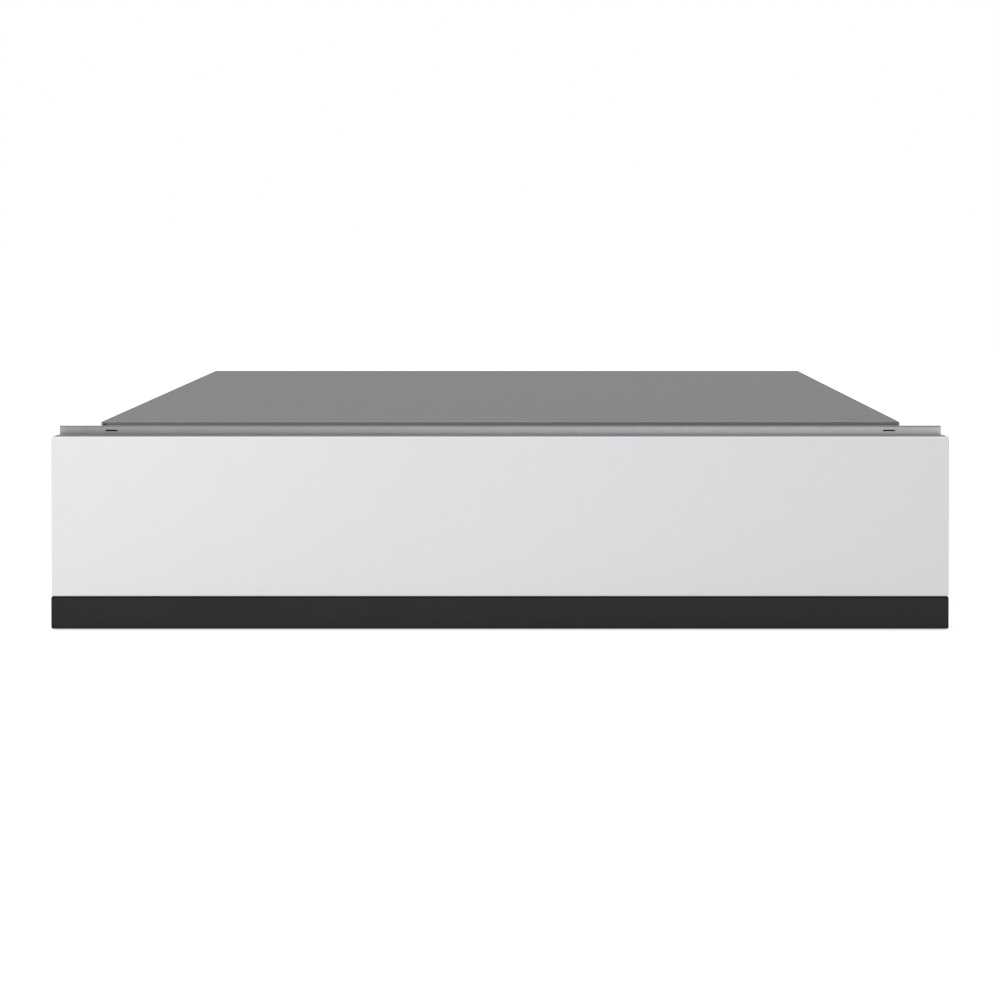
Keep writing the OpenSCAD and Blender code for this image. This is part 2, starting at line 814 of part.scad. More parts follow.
latch_z = runner_z;
plunger_front = drawer_back + plunger_travel;
latch_front = plunger_front + 10;
latch_back = housing_back - 2 * sheet_t;
latch_end = latch_back - 3;
spring_r = plunger_r - 1 - seat - latch_wire / 2;

module latch_body() {
  color("#404040") from_front() difference() {
    middle(latch_w / 2, [latch_front, latch_back], [latch_z - latch_w / 2, latch_z + latch_w / 2]);
    translate([0, latch_end, latch_z]) rotate([90, 0, 0]) cylinder(r = plunger_r + run_clear, h = latch_end);
  }
}

module latch_plunger() {
  color("#c0c0c0") from_front() translate([0, plunger_front, latch_z]) rotate([-90, 0, 0]) difference() {
    cylinder(r = plunger_r, h = plunger_l);
    translate([0, 0, 3]) cylinder(r = plunger_r - 1, h = plunger_l);
  }
}

latch_spring_front = plunger_front + 3 + plunger_travel + 1;
latch_pitch = (latch_end - latch_spring_front - latch_wire) / latch_turns;
latch_path = [for (i = [0:latch_turns * 8]) let (a = i * 45)
  [spring_r * cos(a), latch_spring_front + latch_wire / 2 + latch_pitch * i / 8,
    latch_z + spring_r * sin(a)]];

module latch_spring() {
  color("silver") from_front() tube(latch_path, latch_wire / 2, 6, [0, 1, 0]);
}

// Drawer

module at_deck_screws() {
  for (side = [-1, 1], y = row(4, drawer_front + 20, drawer_back - 20))
    translate([side * (drawer_x - deck_lip_w / 2 - pan_t / 2), y, deck_top]) children();
}

fan_x = drawer_x - fan_w / 2 - 24;
fan_z = pan_top + fan_w / 2 + 6;
fan_bore_r = fan_w / 2 - 2;

module drawer_pan() {
  color("#9a9a9a") from_front() difference() {
    union() {
      middle(drawer_x, [drawer_front, drawer_back], [pan_z, pan_top]);
      both_sides() {
        span([drawer_x - pan_t, drawer_x], [drawer_front, drawer_back], [pan_z, deck_z]);
        span([drawer_x - deck_lip_w, drawer_x], [drawer_front, drawer_back], [deck_z - pan_t, deck_z]);
      }
      middle(drawer_x, [drawer_front, drawer_front + pan_t], [pan_z, deck_z]);
      middle(drawer_x, [drawer_back - pan_t, drawer_back], [pan_z, deck_z]);
    }
    at_drawer_rivets() rivet_hole();
    at_deck_screws() screw_hole();
    at_carrier_screws() screw_hole();
    translate([fan_x, drawer_back + 1, fan_z]) rotate([90, 0, 0]) cylinder(r = fan_bore_r, h = pan_t + 2);
  }
}

// The opening has square corners, which lie under the chamber's rim
module deck_plate() {
  color("#c8c8ca") from_front() difference() {
    middle(drawer_x, [drawer_front, drawer_back], [deck_z, deck_top]);
    middle(chamber_w / 2 + chamber_t + hole_clear,
      [chamber_front - chamber_t - hole_clear, bay_front + hole_clear], [deck_z - 1, deck_top + 1]);
    at_deck_screws() screw_hole();
  }
}

module drawer_screws() {
  color("silver") from_front() {
    at_deck_screws() screw(shank_l);
    at_carrier_screws() screw(shank_l);
  }
}

// Chamber

port_x = 110;          // place of the suction port across the chamber
port_y = chamber_back;
port_z = floor_z + chamber_h * 0.55;
hose_wall = 1.5;       // wall of the nipples
port_bore = hose_r - hose_wall;
port_tail = 14;        // length of the port's nipple behind the chamber

module at_posts() {
  for (x = [-post_pitch / 2, post_pitch / 2]) translate([x, bar_y, 0]) children();
}

module vacuum_chamber() {
  outer = chamber_w / 2 + chamber_t;
  inner = chamber_w / 2;
  outer_y = [chamber_front - chamber_t, bay_front];
  color("#d0d0d2") from_front() difference() {
    union() {
      round_plate([-outer, outer], outer_y, [chamber_z, rim_top], chamber_r + chamber_t);
      round_plate([-rim_x, rim_x], [rim_front, rim_back], [deck_top, rim_top], chamber_r + rim_w);
    }
    round_plate([-inner, inner], [chamber_front, chamber_back], [floor_z, rim_top + 1], chamber_r);
    translate([port_x, bay_front + 1, port_z]) rotate([90, 0, 0])
      cylinder(r = hose_r + hole_clear, h = chamber_t + 2);
  }
}

module chamber_gasket() {
  out = (rim_w - gasket_w) / 2;
  in = out + gasket_w;
  color("#e8e8e8") from_front() difference() {
    round_plate([-rim_x + out, rim_x - out], [rim_front + out, rim_back - out], [rim_top, gasket_top],
      chamber_r + rim_w - out);
    round_plate([-rim_x + in, rim_x - in], [rim_front + in, rim_back - in], [rim_top - 1, gasket_top + 1],
      chamber_r + rim_w - in);
  }
}

port_collar_t = 2;     // thickness of the port's collar inside the chamber
port_hole_r = 1.2;     // radius of the small holes in the port's collar

// Collar inside the chamber with a ring of small holes, and a nipple behind it
module suction_port() {
  color("#b0b0b0") from_front() translate([port_x, chamber_back, port_z]) rotate([-90, 0, 0]) difference() {
    union() {
      translate([0, 0, -port_collar_t]) cylinder(r = port_r, h = port_collar_t);
      cylinder(r = hose_r, h = port_tail);
    }
    translate([0, 0, -port_collar_t / 2]) cylinder(r = port_bore, h = port_tail + port_collar_t);
    for (a = [0:60:300]) rotate([0, 0, a]) translate([port_bore * 0.6, 0, -port_collar_t - 1])
      cylinder(r = port_hole_r * 0.8, h = 2 * port_collar_t);
  }
}

module lift_sleeves() {
  color("#b5a642") from_front() at_posts() translate([0, 0, floor_z]) difference() {
    cylinder(r = sleeve_r, h = sleeve_h);
    translate([0, 0, 2]) cylinder(r = post_r + run_clear, h = sleeve_h);
  }
}

module sealing_bar() {
  color("#b8b8ba") from_front() {
    middle(bar_l / 2, [bar_front, bar_front + bar_w], [bar_z, bar_top]);
    at_posts() translate([0, 0, floor_z + 2.5]) cylinder(r = post_r, h = bar_z - floor_z - 2.5);
  }
}

band_in = 4;           // how far the band ends inside the bar's ends
tape_in = 0.5;         // how far the tape's edges lie inside the bar's

module heating_band() {
  color("#6b5a4a") from_front()
    middle(bar_l / 2 - band_in, [bar_y - band_w / 2, bar_y + band_w / 2], [bar_top, bar_top + band_t]);
}

module band_tape() {
  y = [bar_front + tape_in, bar_front + bar_w - tape_in];
  color("#8a6a45") from_front() middle(bar_l / 2 - tape_in, y, [bar_top + band_t, tape_top]);
}

// Lid

module lid_glass() {
  color("#9cc0b8") from_front() round_plate([-lid_x, lid_x], [lid_front, lid_back], [lid_z, lid_top], lid_r);
}

barrel_r = hinge_off - bracket_t;
lower_jaw_l = lid_back_over - 1;

module at_brackets() {
  for (side = [-1, 1]) translate([side * hinge_x, 0, 0]) children();
}

// Axis along X at the hinge line, from low to high
module hinge_rod(low, high, r) {
  translate([low, hinge_y, hinge_z]) rotate([0, 90, 0]) cylinder(r = r, h = high - low);
}

lid_screw_in = 10;     // distance of the lid screws from a bracket's ends

module at_lid_screws() {
  at_brackets() for (x = [-bracket_w / 2 + lid_screw_in, bracket_w / 2 - lid_screw_in])
    translate([x, lid_back - jaw_l / 2, lid_top + bracket_t]) children();
}

module lid_brackets() {
  half = bracket_w / 2;
  color("#c4c4c6") from_front() difference() {
    at_brackets() difference() {
      union() {
        middle(half, [lid_back - jaw_l, lid_back + bracket_t], [lid_top, lid_top + bracket_t]);
        middle(half, [lid_back, lid_back + bracket_t], [lid_z - bracket_t, lid_top]);
        middle(half, [lid_back - lower_jaw_l, lid_back], [lid_z - bracket_t, lid_z]);
        middle(half, [lid_back, hinge_y], [hinge_z - barrel_r * 0.6, hinge_z + barrel_r]);
        hinge_rod(-half, half, barrel_r);
      }
      middle(half + 1, [lid_back - jaw_l - 1, lid_back], [lid_z, lid_top]);
      hinge_rod(-half - 1, half + 1, pin_r + run_clear);
    }
    at_lid_screws() translate([0, 0, -bracket_t - 1]) cylinder(r = shank_r + hole_clear, h = bracket_t + 2);
  }
}

module lid_screws() {
  color("silver") from_front() at_lid_screws() screw(bracket_t);
}

grip_lip = 2;          // gap between the glass's edge and the grip's outer edge

module lid_grip() {
  half = grip_w / 2;
  color("#c4c4c6") from_front() {
    middle(half, [lid_front - grip_t - grip_lip, lid_front + grip_l], [lid_top, lid_top + grip_t]);
    middle(half, [lid_front - grip_t, lid_front], [lid_z - grip_t, lid_top]);
    middle(half, [lid_front, lid_front + lid_over * 0.75], [lid_z - grip_t, lid_z]);
  }
}

module counter_bar_holder() {
  color("#b0b0b2") from_front()
    middle(bar_l / 2 + 2, [bar_y - counter_w / 2, bar_y + counter_w / 2], [lid_z - holder_h, lid_z]);
}

module counter_bar() {
  color("#d8d8d0") from_front()
    middle(bar_l / 2, [bar_y - bar_w / 2, bar_y + bar_w / 2], [counter_z, lid_z - holder_h]);
}

// The spring sits on the pin outside each bracket, and the mount's ears stand outside both
spring_pitch = lid_wire + 0.6;
spring_len = spring_pitch * lid_turns + lid_wire;
coil_r = pin_r + 0.7 + lid_wire / 2;
ear_gap = 0.5;         // gap between a bracket or spring and an ear
inner_ear = -bracket_w / 2 - ear_gap;
outer_ear = bracket_w / 2 + ear_gap + spring_len + ear_gap;
mount_step = 1.5;      // how far the ears stay inside the hinge's height above the deck
mount_ear_r = hinge_off - mount_step;
mount_reach = 12;      // how far the hinge mounts reach behind the hinge
mount_back = hinge_y + mount_reach;

// Made at the right-hand bracket and mirrored to the left
module at_hinges() {
  both_sides() translate([hinge_x, 0, 0]) children();
}

module hinge_mounts() {
  color("#a0a0a2") from_front() at_hinges() difference() {
    union() {
      span([inner_ear - hinge_ear_t, outer_ear + hinge_ear_t], [hinge_y - mount_ear_r, mount_back],
        [deck_top, deck_top + hinge_base_t]);
      for (x = [inner_ear - hinge_ear_t, outer_ear]) {
        span([x, x + hinge_ear_t], [hinge_y - mount_ear_r, hinge_y + mount_ear_r], [deck_top, hinge_z]);
        hinge_rod(x, x + hinge_ear_t, mount_ear_r);
      }
    }
    hinge_rod(inner_ear - hinge_ear_t - 1, outer_ear + hinge_ear_t + 1, pin_r + tight_clear);
  }
}

pin_end = 1.5;         // how far a hinge pin stands out of the ears
pin_head_r = pin_r + 1;

module hinge_pins() {
  color("silver") from_front() at_hinges() {
    hinge_rod(inner_ear - hinge_ear_t - pin_end, outer_ear + hinge_ear_t + pin_end, pin_r);
    hinge_rod(outer_ear + hinge_ear_t, outer_ear + hinge_ear_t + pin_end, pin_head_r);
    hinge_rod(inner_ear - hinge_ear_t - pin_end, inner_ear - hinge_ear_t, pin_head_r);
  }
}

lid_spring_x = bracket_w / 2 + ear_gap + lid_wire / 2;
front_leg = 15;        // length of the leg under the lid
back_leg = 10;         // length of the leg on the mount
lid_coil = [for (i = [0:lid_turns * 8]) let (a = i * 45 - 90)
  [lid_spring_x + spring_pitch * i / 8, hinge_y + coil_r * cos(a), hinge_z + coil_r * sin(a)]];
leg_z = hinge_z - coil_r - 0.2;
leg_x = lid_spring_x + spring_pitch * lid_turns;
front_tip = [lid_spring_x, hinge_y - front_leg, lid_z - lid_wire / 2 - seat];
back_tip = [leg_x, hinge_y + back_leg, deck_top + hinge_base_t + lid_wire / 2 + seat];
lid_spring_path = concat([front_tip, [lid_spring_x, hinge_y - front_leg / 3, leg_z]], lid_coil,
  [[leg_x, hinge_y + back_leg / 3, leg_z], back_tip]);

module lid_springs() {
  color("#909090") from_front() at_hinges() tube(lid_spring_path, lid_wire / 2, 6, [1, 0, 0]);
}

// Least gap between turns, measured on points that lie a turn apart
function turn_gap(p, step, wire) = min([for (i = [0:len(p) - 1 - step]) norm(p[i + step] - p[i])]) - wire;
echo("lid spring gap", turn_gap(lid_coil, 8, lid_wire));
echo("latch spring gap", turn_gap(latch_path, 8, latch_wire));

// Controls

board_x = control_w / 2 - 8;
board_top = deck_z - spacer_l;

module control_panel() {
  color("#151515") from_front()
    round_plate([-control_w / 2, control_w / 2], [control_front, control_front + control_d],
      [deck_top, deck_top + control_t], 2);
}

module control_board() {
  spacer_r = 2;
  color("darkgreen") from_front() {
    middle(board_x, [control_front, control_front + control_d], [board_top - board_t, board_top]);
    for (x = row(4, -board_x + 8, board_x - 8), y = [control_front + 4, control_front + control_d - 4])
      translate([x, y, board_top]) cylinder(r = spacer_r, h = spacer_l);
    for (x = row(7, -board_x + 30, board_x - 30)) translate([x, 0, board_top - board_t])
      middle(5, [control_front + 5, control_front + control_d - 5], [-2, 0]);
  }
}

// Pump and motor on one shaft along X

pump_y = drawer_back - pump_back_gap - pump_r;
pump_z = pan_top + mount_h + saddle_t + pump_r + 1.5;
pump_x = -18;          // place of the joint between motor and pump across the drawer
bore_r = rotor_r + pump_offset + 0.2;
wall_t = 5;            // wall between the motor and the pump's bore
bearing_r = 11;        // outer radius of the shaft's bearings
bearing_w = 7;         // width of the shaft's bearings

module shaft_rod(low, high, r) {
  translate([low, pump_y, pump_z]) rotate([0, 90, 0]) cylinder(r = r, h = high - low);
}

pump_end = pump_x + pump_l;
motor_end = pump_x - motor_l;
nipple_l = 14;         // length of the pump's nipples
nipple_up = 14;        // height of the nipples above the shaft
nipple_out = 14;       // distance of the nipples from the shaft, front to back

module at_nipples() {
  for (side = [-1, 1]) translate([pump_end + pump_cover_t, pump_y + side * nipple_out, pump_z + nipple_up])
    rotate([0, 90, 0]) children();
}

module at_pump_screws() {
  for (a = [0:60:300]) translate([pump_end + pump_cover_t, pump_y, pump_z]) rotate([a, 0, 0])
    translate([0, 0, pump_r - 4.5]) rotate([0, 90, 0]) children();
}

// Pump housing with its end cover, nipples and cover screws as separate solids
module pump_housing() {
  color("#9a9c9e") from_front() {
    difference() {
      shaft_rod(pump_x, pump_end, pump_r);
      translate([0, 0, pump_offset]) shaft_rod(pump_x + wall_t, pump_end + 1, bore_r);
      shaft_rod(pump_x - 1, pump_end, shaft_r + run_clear);
      at_pump_screws() translate([0, 0, -pump_cover_t - shank_l])
        cylinder(r = shank_r + hole_clear, h = pump_cover_t + shank_l);
    }
    difference() {
      union() {
        shaft_rod(pump_end + tight_clear, pump_end + pump_cover_t, pump_r);
        at_nipples() cylinder(r = hose_r, h = nipple_l);
      }
      at_nipples() translate([0, 0, -pump_cover_t - 1])
        cylinder(r = hose_r - hose_wall, h = nipple_l + pump_cover_t + 2);
      at_pump_screws() translate([0, 0, -pump_cover_t - 1])
        cylinder(r = shank_r + hole_clear, h = pump_cover_t + 2);
    }
    at_pump_screws() translate([0, 0, tight_clear]) screw(pump_cover_t + shank_l - 1);
  }
}

// Case with closed ends, each holding a bearing
module motor_case() {
  color("#3a3c40") from_front() {
    difference() {
      shaft_rod(motor_end, pump_x, motor_r);
      shaft_rod(motor_end + bearing_w, pump_x - bearing_w, motor_r - motor_t);
      shaft_rod(motor_end - 1, pump_x + 1, bearing_r + tight_clear);
    }
    for (x = [motor_end, pump_x - bearing_w]) difference() {
      shaft_rod(x, x + bearing_w, bearing_r);
      shaft_rod(x - 1, x + bearing_w + 1, shaft_r + run_clear);
    }
  }
}

module motor_stator() {
  mid = (motor_end + pump_x) / 2;
  color("#a0603a") from_front() difference() {
    shaft_rod(mid - core_l / 2, mid + core_l / 2, motor_r - motor_t - tight_clear);
    shaft_rod(mid - core_l, mid + core_l, core_r + 0.5);
  }
}

vane_t = 2;            // thickness of a pump vane
vane_l = 14;           // length of a pump vane

// Shaft with the motor's core and the pump's rotor, and the vanes drawn into their slots
module motor_rotor() {
  mid = (motor_end + pump_x) / 2;
  rotor_low = pump_x + wall_t + 0.2;
  rotor_high = pump_end - 0.2;
  slot_half = vane_t / 2 + hole_clear;
  color("#707478") from_front() {
    difference() {
      union() {
        shaft_rod(motor_end - 6, rotor_high, shaft_r);
        shaft_rod(mid - core_l / 2, mid + core_l / 2, core_r);
        shaft_rod(rotor_low, rotor_high, rotor_r);
      }
      at_vanes() span([rotor_low - 1, rotor_high + 1], [-slot_half, slot_half],
        [rotor_r - vane_l - hole_clear, rotor_r + 1]);
    }
    at_vanes() span([rotor_low, rotor_high], [-vane_t / 2, vane_t / 2], [rotor_r - vane_l, rotor_r - 0.1]);
  }
}

module at_vanes() {
  for (a = [0, 120, 240]) translate([0, pump_y, pump_z]) rotate([a, 0, 0]) children();
}

// Bracket on rubber feet, with a cradle under the motor and one under the pump
saddle_half = 30;      // half width of the pump's bracket
saddle_top = pump_z - 14;
saddle_z = pan_top + mount_h;

module pump_saddle() {
  low = motor_end + 8;
  high = pump_end - 4;
  color("#5a5c5e") from_front() difference() {
    union() {
      span([low, high], [pump_y - saddle_half, pump_y + saddle_half], [saddle_z, saddle_z + saddle_t]);
      for (x = [low + 10, pump_x - 30, pump_x + 14])
        span([x, x + 3 * saddle_t], [pump_y - saddle_half, pump_y + saddle_half], [saddle_z, saddle_top]);
      for (x = [low + 12, high - 12], y = [pump_y - saddle_half + 10, pump_y + saddle_half - 10])
        translate([x, y, pan_top]) cylinder(r = 7, h = mount_h);
    }
    shaft_rod(motor_end - 1, pump_x, motor_r + hole_clear);
    shaft_rod(pump_x, pump_end + 1, pump_r + hole_clear);
  }
}

// Valve block with two solenoids
valve_x = port_x + valve_l / 2;
valve_y = bay_front + valve_set;
valve_top = pan_top + valve_h;
coil_pitch = valve_l * 0.47;

module valve_block() {
  color("#2f4f6f") from_front() {
    difference() {
      translate([valve_x, valve_y, 0]) middle(valve_l / 2, [-valve_w / 2, valve_w / 2], [pan_top, valve_top]);
      valve_nipples() translate([0, 0, -8]) cylinder(r = hose_r - hose_wall, h = 40);
    }
    valve_nipples() difference() {
      cylinder(r = hose_r, h = nipple_l);
      translate([0, 0, -1]) cylinder(r = hose_r - hose_wall, h = nipple_l + 2);
    }
    for (side = [-1, 1]) translate([valve_x + side * coil_pitch / 2, valve_y, valve_top]) {
      cylinder(r = valve_w / 3, h = valve_w * 0.93);
      cylinder(r = valve_w / 5, h = valve_w * 1.07);
    }
  }
}

// Exhaust filter on two stands, with a nipple at its left end
filter_r = 18;         // radius of the exhaust filter
filter_l = 60;         // length of the exhaust filter
filter_x = pump_end + pump_cover_t + nipple_l + 36;
filter_y = pump_y + nipple_out;
filter_z = pan_top + filter_r + 2;
filter_nipple = 10;    // length of the filter's nipple

module exhaust_filter() {
  color("#d8d4c4") from_front() {
    translate([filter_x, filter_y, filter_z]) rotate([0, 90, 0]) cylinder(r = filter_r, h = filter_l);
    translate([filter_x - filter_nipple, filter_y, filter_z]) rotate([0, 90, 0])
      cylinder(r = hose_r, h = filter_nipple);
    for (x = [filter_x + 8, filter_x + filter_l - 14])
      span([x, x + 6], [filter_y - 12, filter_y + 12], [pan_top, filter_z - filter_r * 0.7]);
  }
}

// Nipples of the valve block: one towards the chamber, one towards the pump
valve_in_drop = 10;    // height of the block's top above its front nipple
valve_out_drop = 22;   // height of the block's top above its side nipple

module valve_nipples() {
  translate([valve_x - valve_l / 3, valve_y - valve_w / 2, valve_top - valve_in_drop])
    rotate([90, 0, 0]) children();
  translate([valve_x - valve_l / 2, valve_y, valve_top - valve_out_drop]) rotate([0, -90, 0]) children();
}

// The hoses end face to face with the nipples
port_end = [port_x, chamber_back + port_tail, port_z];
valve_in = [valve_x - valve_l / 3, valve_y - valve_w / 2 - nipple_l, valve_top - valve_in_drop];
valve_out = [valve_x - valve_l / 2 - nipple_l, valve_y, valve_top - valve_out_drop];
pump_in = [pump_end + pump_cover_t + nipple_l, pump_y - nipple_out, pump_z + nipple_up];
pump_out = [pump_end + pump_cover_t + nipple_l, pump_y + nipple_out, pump_z + nipple_up];
filter_in = [filter_x - filter_nipple, filter_y, filter_z];
bend = 18;             // how straight a hose leaves its nipple
lead = 2;              // straight length of a hose at its ends

// Hose from a nipple at a that points along u to one at b that points along v
module hose(a, u, b, v, n, ref) {
  path = curve_path(a + lead * u, a + bend * u, b + bend * v, b + lead * v, n);
  tube(concat([a], path, [b]), hose_r, 10, ref);
}

module vacuum_hoses() {
  color("#b8b8a8") from_front() {
    hose(port_end, [0, 1, 0], valve_in, [0, -1, 0], 10, [1, 0, 0]);
    hose(valve_out, [-1, 0, 0], pump_in, [1, 0, 0], 14, [0, 0.2, 1]);
    hose(pump_out, [1, 0, 0], filter_in, [-1, 0, 0], 10, [0, 1, 0]);
  }
}

// Power board with its parts in the left side bay
power_bay = drawer_x - pan_t - chamber_w / 2 - chamber_t;
power_w = power_bay - 2 * power_gap;
power_x = -(drawer_x - pan_t - power_bay / 2);
power_y = drawer_front + power_set;
power_z = pan_top + power_rise;

module power_board() {
  top = power_z + board_t;
  cap_r = power_w * 0.2;
  color("#1f5f3f") from_front() translate([power_x, power_y, 0]) {
    middle(power_w / 2, [0, power_l], [power_z, top]);
    for (x = [-power_w / 2 + 4, power_w / 2 - 4], y = [5, power_l - 5])
      translate([x, y, pan_top]) cylinder(r = 3, h = power_rise);
    for (y = [power_l * 0.1, power_l * 0.26]) translate([-power_w * 0.15, y, top])
      cylinder(r = cap_r, h = 3 * cap_r);
    middle(power_w / 3, [power_l * 0.4, power_l * 0.55], [top, top + power_w * 0.3]);
    middle(power_w * 0.37, [power_l * 0.62, power_l * 0.64], [top, top + power_w * 0.63]);
    middle(power_w * 0.26, [power_l * 0.68, power_l * 0.76], [top, top + power_w * 0.28]);
  }
}

// Transformer for the heating band: the core with its winding
transformer_x = -(drawer_x - pan_t - transformer_gap - transformer_w / 2);
transformer_y = bay_front + transformer_set;
winding_in = 6;        // how far the winding ends inside the core's ends

module transformer() {
  winding_w = transformer_w - 20;
  color("#4a4038") from_front() translate([transformer_x, transformer_y, 0]) {
    middle(transformer_w / 2, [-winding_w / 2, winding_w / 2], [pan_top, pan_top + transformer_h]);
    middle(winding_w / 2, [-transformer_l / 2, transformer_l / 2],
      [pan_top + winding_in, pan_top + transformer_h - winding_in]);
  }
}

// Fan on the drawer's back wall, turning about Y
fan_front = drawer_back - pan_t - fan_d;

module fan_rod(low, high, r) {
  translate([fan_x, drawer_back - pan_t - high, fan_z]) rotate([-90, 0, 0]) cylinder(r = r, h = high - low);
}

module fan_frame() {
  half = fan_w / 2;
  hub_low = fan_d - 3;
  color("#1c1c1c") from_front() {
    difference() {
      translate([fan_x, 0, fan_z]) middle(half, [fan_front, drawer_back - pan_t], [-half, half]);
      fan_rod(-1, fan_d + 1, fan_bore_r);
    }
    fan_rod(hub_low, fan_d, hub_r);
    translate([fan_x, 0, fan_z]) for (a = [45:90:315]) rotate([0, a, 0])
      span([hub_r - 1, fan_bore_r + 1], [fan_front, drawer_back - pan_t - hub_low], [-1.5, 1.5]);
    fan_rod(2, hub_low, 1.5);
  }
}

module fan_rotor() {
  low = fan_front + 3.5;
  high = drawer_back - pan_t - 1;
  blade_w = (high - low) * 0.84;
  color("#2a2a2a") from_front() difference() {
    union() {
      fan_rod(1, fan_d - 3.5, hub_r);
      translate([fan_x, (low + high) / 2, fan_z]) for (i = [0:blade_n - 1]) rotate([0, i * 360 / blade_n, 0])
        translate([hub_r - 1, 0, 0]) rotate([35, 0, 0])
          translate([0, -blade_w / 2, -0.6]) cube([fan_bore_r - hub_r - 0.5, blade_w, 1.2]);
    }
    fan_rod(1.5, fan_d, 1.5 + run_clear);
  }
}

front_glass();
design_strip();
front_carrier();
strip_clips();
front_frame();
bumper_pads();
housing_base();
side_panel_left();
side_panel_right();
rear_panel();
top_cover();
housing_screws();
feet();
mains_inlet();
runner_outer_left();
runner_outer_right();
runner_middle_left();
runner_middle_right();
runner_inner_left();
runner_inner_right();
ball_cages_outer();
ball_cages_inner();
runner_rivets();
drawer_rivets();
latch_body();
latch_plunger();
latch_spring();
drawer_pan();
deck_plate();
drawer_screws();
vacuum_chamber();
chamber_gasket();
suction_port();
lift_sleeves();
sealing_bar();
heating_band();
band_tape();
lid_glass();
lid_brackets();
lid_screws();
lid_grip();
counter_bar_holder();
counter_bar();
hinge_mounts();
hinge_pins();
lid_springs();
control_panel();
control_board();
pump_housing();
motor_case();
motor_stator();
motor_rotor();
pump_saddle();
valve_block();
exhaust_filter();
vacuum_hoses();
power_board();
transformer();
fan_frame();
fan_rotor();
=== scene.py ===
# Looks of the built-in vacuum sealing drawer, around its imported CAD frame.
#
# Blender's lengths are metres. Sizes of the pieces are written in millimetres and scaled by MM.
# Each piece rides with the body of the CAD node that it is made for.
import json
import math

import bmesh
import bpy
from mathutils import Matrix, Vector

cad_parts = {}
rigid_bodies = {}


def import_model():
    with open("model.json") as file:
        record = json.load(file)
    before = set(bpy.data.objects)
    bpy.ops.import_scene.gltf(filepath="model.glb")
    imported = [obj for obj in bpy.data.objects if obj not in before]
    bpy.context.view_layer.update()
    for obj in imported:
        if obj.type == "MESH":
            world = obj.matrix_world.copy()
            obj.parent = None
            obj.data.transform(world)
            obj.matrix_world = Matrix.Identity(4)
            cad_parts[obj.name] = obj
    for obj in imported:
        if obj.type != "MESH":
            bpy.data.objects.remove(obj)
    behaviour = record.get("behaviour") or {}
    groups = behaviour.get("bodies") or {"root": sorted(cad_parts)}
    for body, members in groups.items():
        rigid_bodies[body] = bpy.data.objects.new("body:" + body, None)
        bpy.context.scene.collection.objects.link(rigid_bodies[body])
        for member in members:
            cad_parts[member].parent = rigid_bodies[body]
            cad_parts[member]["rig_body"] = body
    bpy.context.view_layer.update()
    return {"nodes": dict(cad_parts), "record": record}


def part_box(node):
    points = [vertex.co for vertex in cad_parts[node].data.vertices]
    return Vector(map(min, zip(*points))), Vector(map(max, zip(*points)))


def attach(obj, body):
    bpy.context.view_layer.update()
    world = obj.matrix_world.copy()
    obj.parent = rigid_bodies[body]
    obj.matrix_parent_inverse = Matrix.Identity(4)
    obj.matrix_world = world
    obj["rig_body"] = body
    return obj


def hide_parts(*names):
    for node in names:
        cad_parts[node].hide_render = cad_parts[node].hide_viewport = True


MM = 0.001
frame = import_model()
nodes = frame["nodes"]


# Materials

MATERIALS = {}          # every material of the object, by its name
EVEN = (1, 1, 1)        # scale of a texture that isn't stretched
MIDDLE = (0.3, 0.7)     # where most of a noise texture's values lie


def add(tree, kind, inputs, **settings):
    """A new shader node with its settings and inputs."""
    node = tree.nodes.new(kind)
    for setting, value in settings.items():
        setattr(node, setting, value)
    feed(tree, node, inputs)
    return node


def feed(tree, node, inputs):
    """Gives each input its value, or links it where the value is another node's socket."""
    for name, value in inputs.items():
        if isinstance(value, bpy.types.NodeSocket):
            tree.links.new(value, node.inputs[name])
        else:
            node.inputs[name].default_value = value


def new_material(name):
    """Lists a new material in MATERIALS and returns its node tree and its Principled shader."""
    material = MATERIALS[name] = bpy.data.materials.new(name)
    material.use_nodes = True
    tree = material.node_tree
    return tree, tree.nodes["Principled BSDF"]


def coordinates(tree, scale=EVEN):
    """Object coordinates, stretched by scale on each axis."""
    place = add(tree, "ShaderNodeTexCoord", {})
    mapping = add(tree, "ShaderNodeMapping", {"Scale": scale, "Vector": place.outputs["Object"]})
    return mapping.outputs["Vector"]


def noise(tree, vector, scale, detail, rough):
    texture = add(tree, "ShaderNodeTexNoise",
                  {"Scale": scale, "Detail": detail, "Roughness": rough, "Vector": vector})
    return texture.outputs["Fac"]


def spread(tree, value, low, high, part=MIDDLE):
    """Maps this part of a texture's values to low..high."""
    node = add(tree, "ShaderNodeMapRange", {
        "From Min": part[0], "From Max": part[1], "To Min": low, "To Max": high, "Value": value})
    return node.outputs["Result"]


def tint(tree, fac, dark, light):
    """Colour between dark and light."""
    ramp = add(tree, "ShaderNodeValToRGB", {"Fac": fac})
    for element, position, color in zip(ramp.color_ramp.elements, MIDDLE, (dark, light)):
        element.position = position
        element.color = (*color, 1)
    return ramp.outputs["Color"]


def bump(tree, shader, height, strength, distance):
    node = add(tree, "ShaderNodeBump",
               {"Strength": strength, "Distance": distance, "Height": height})
    feed(tree, shader, {"Normal": node.outputs["Normal"]})


def shaded(color, share):
    return tuple(min(1.0, c * share) for c in color)


def shades(color, contrast):
    """The darker and the lighter shade of a colour."""
    return shaded(color, 1 - contrast), shaded(color, 1 + contrast)


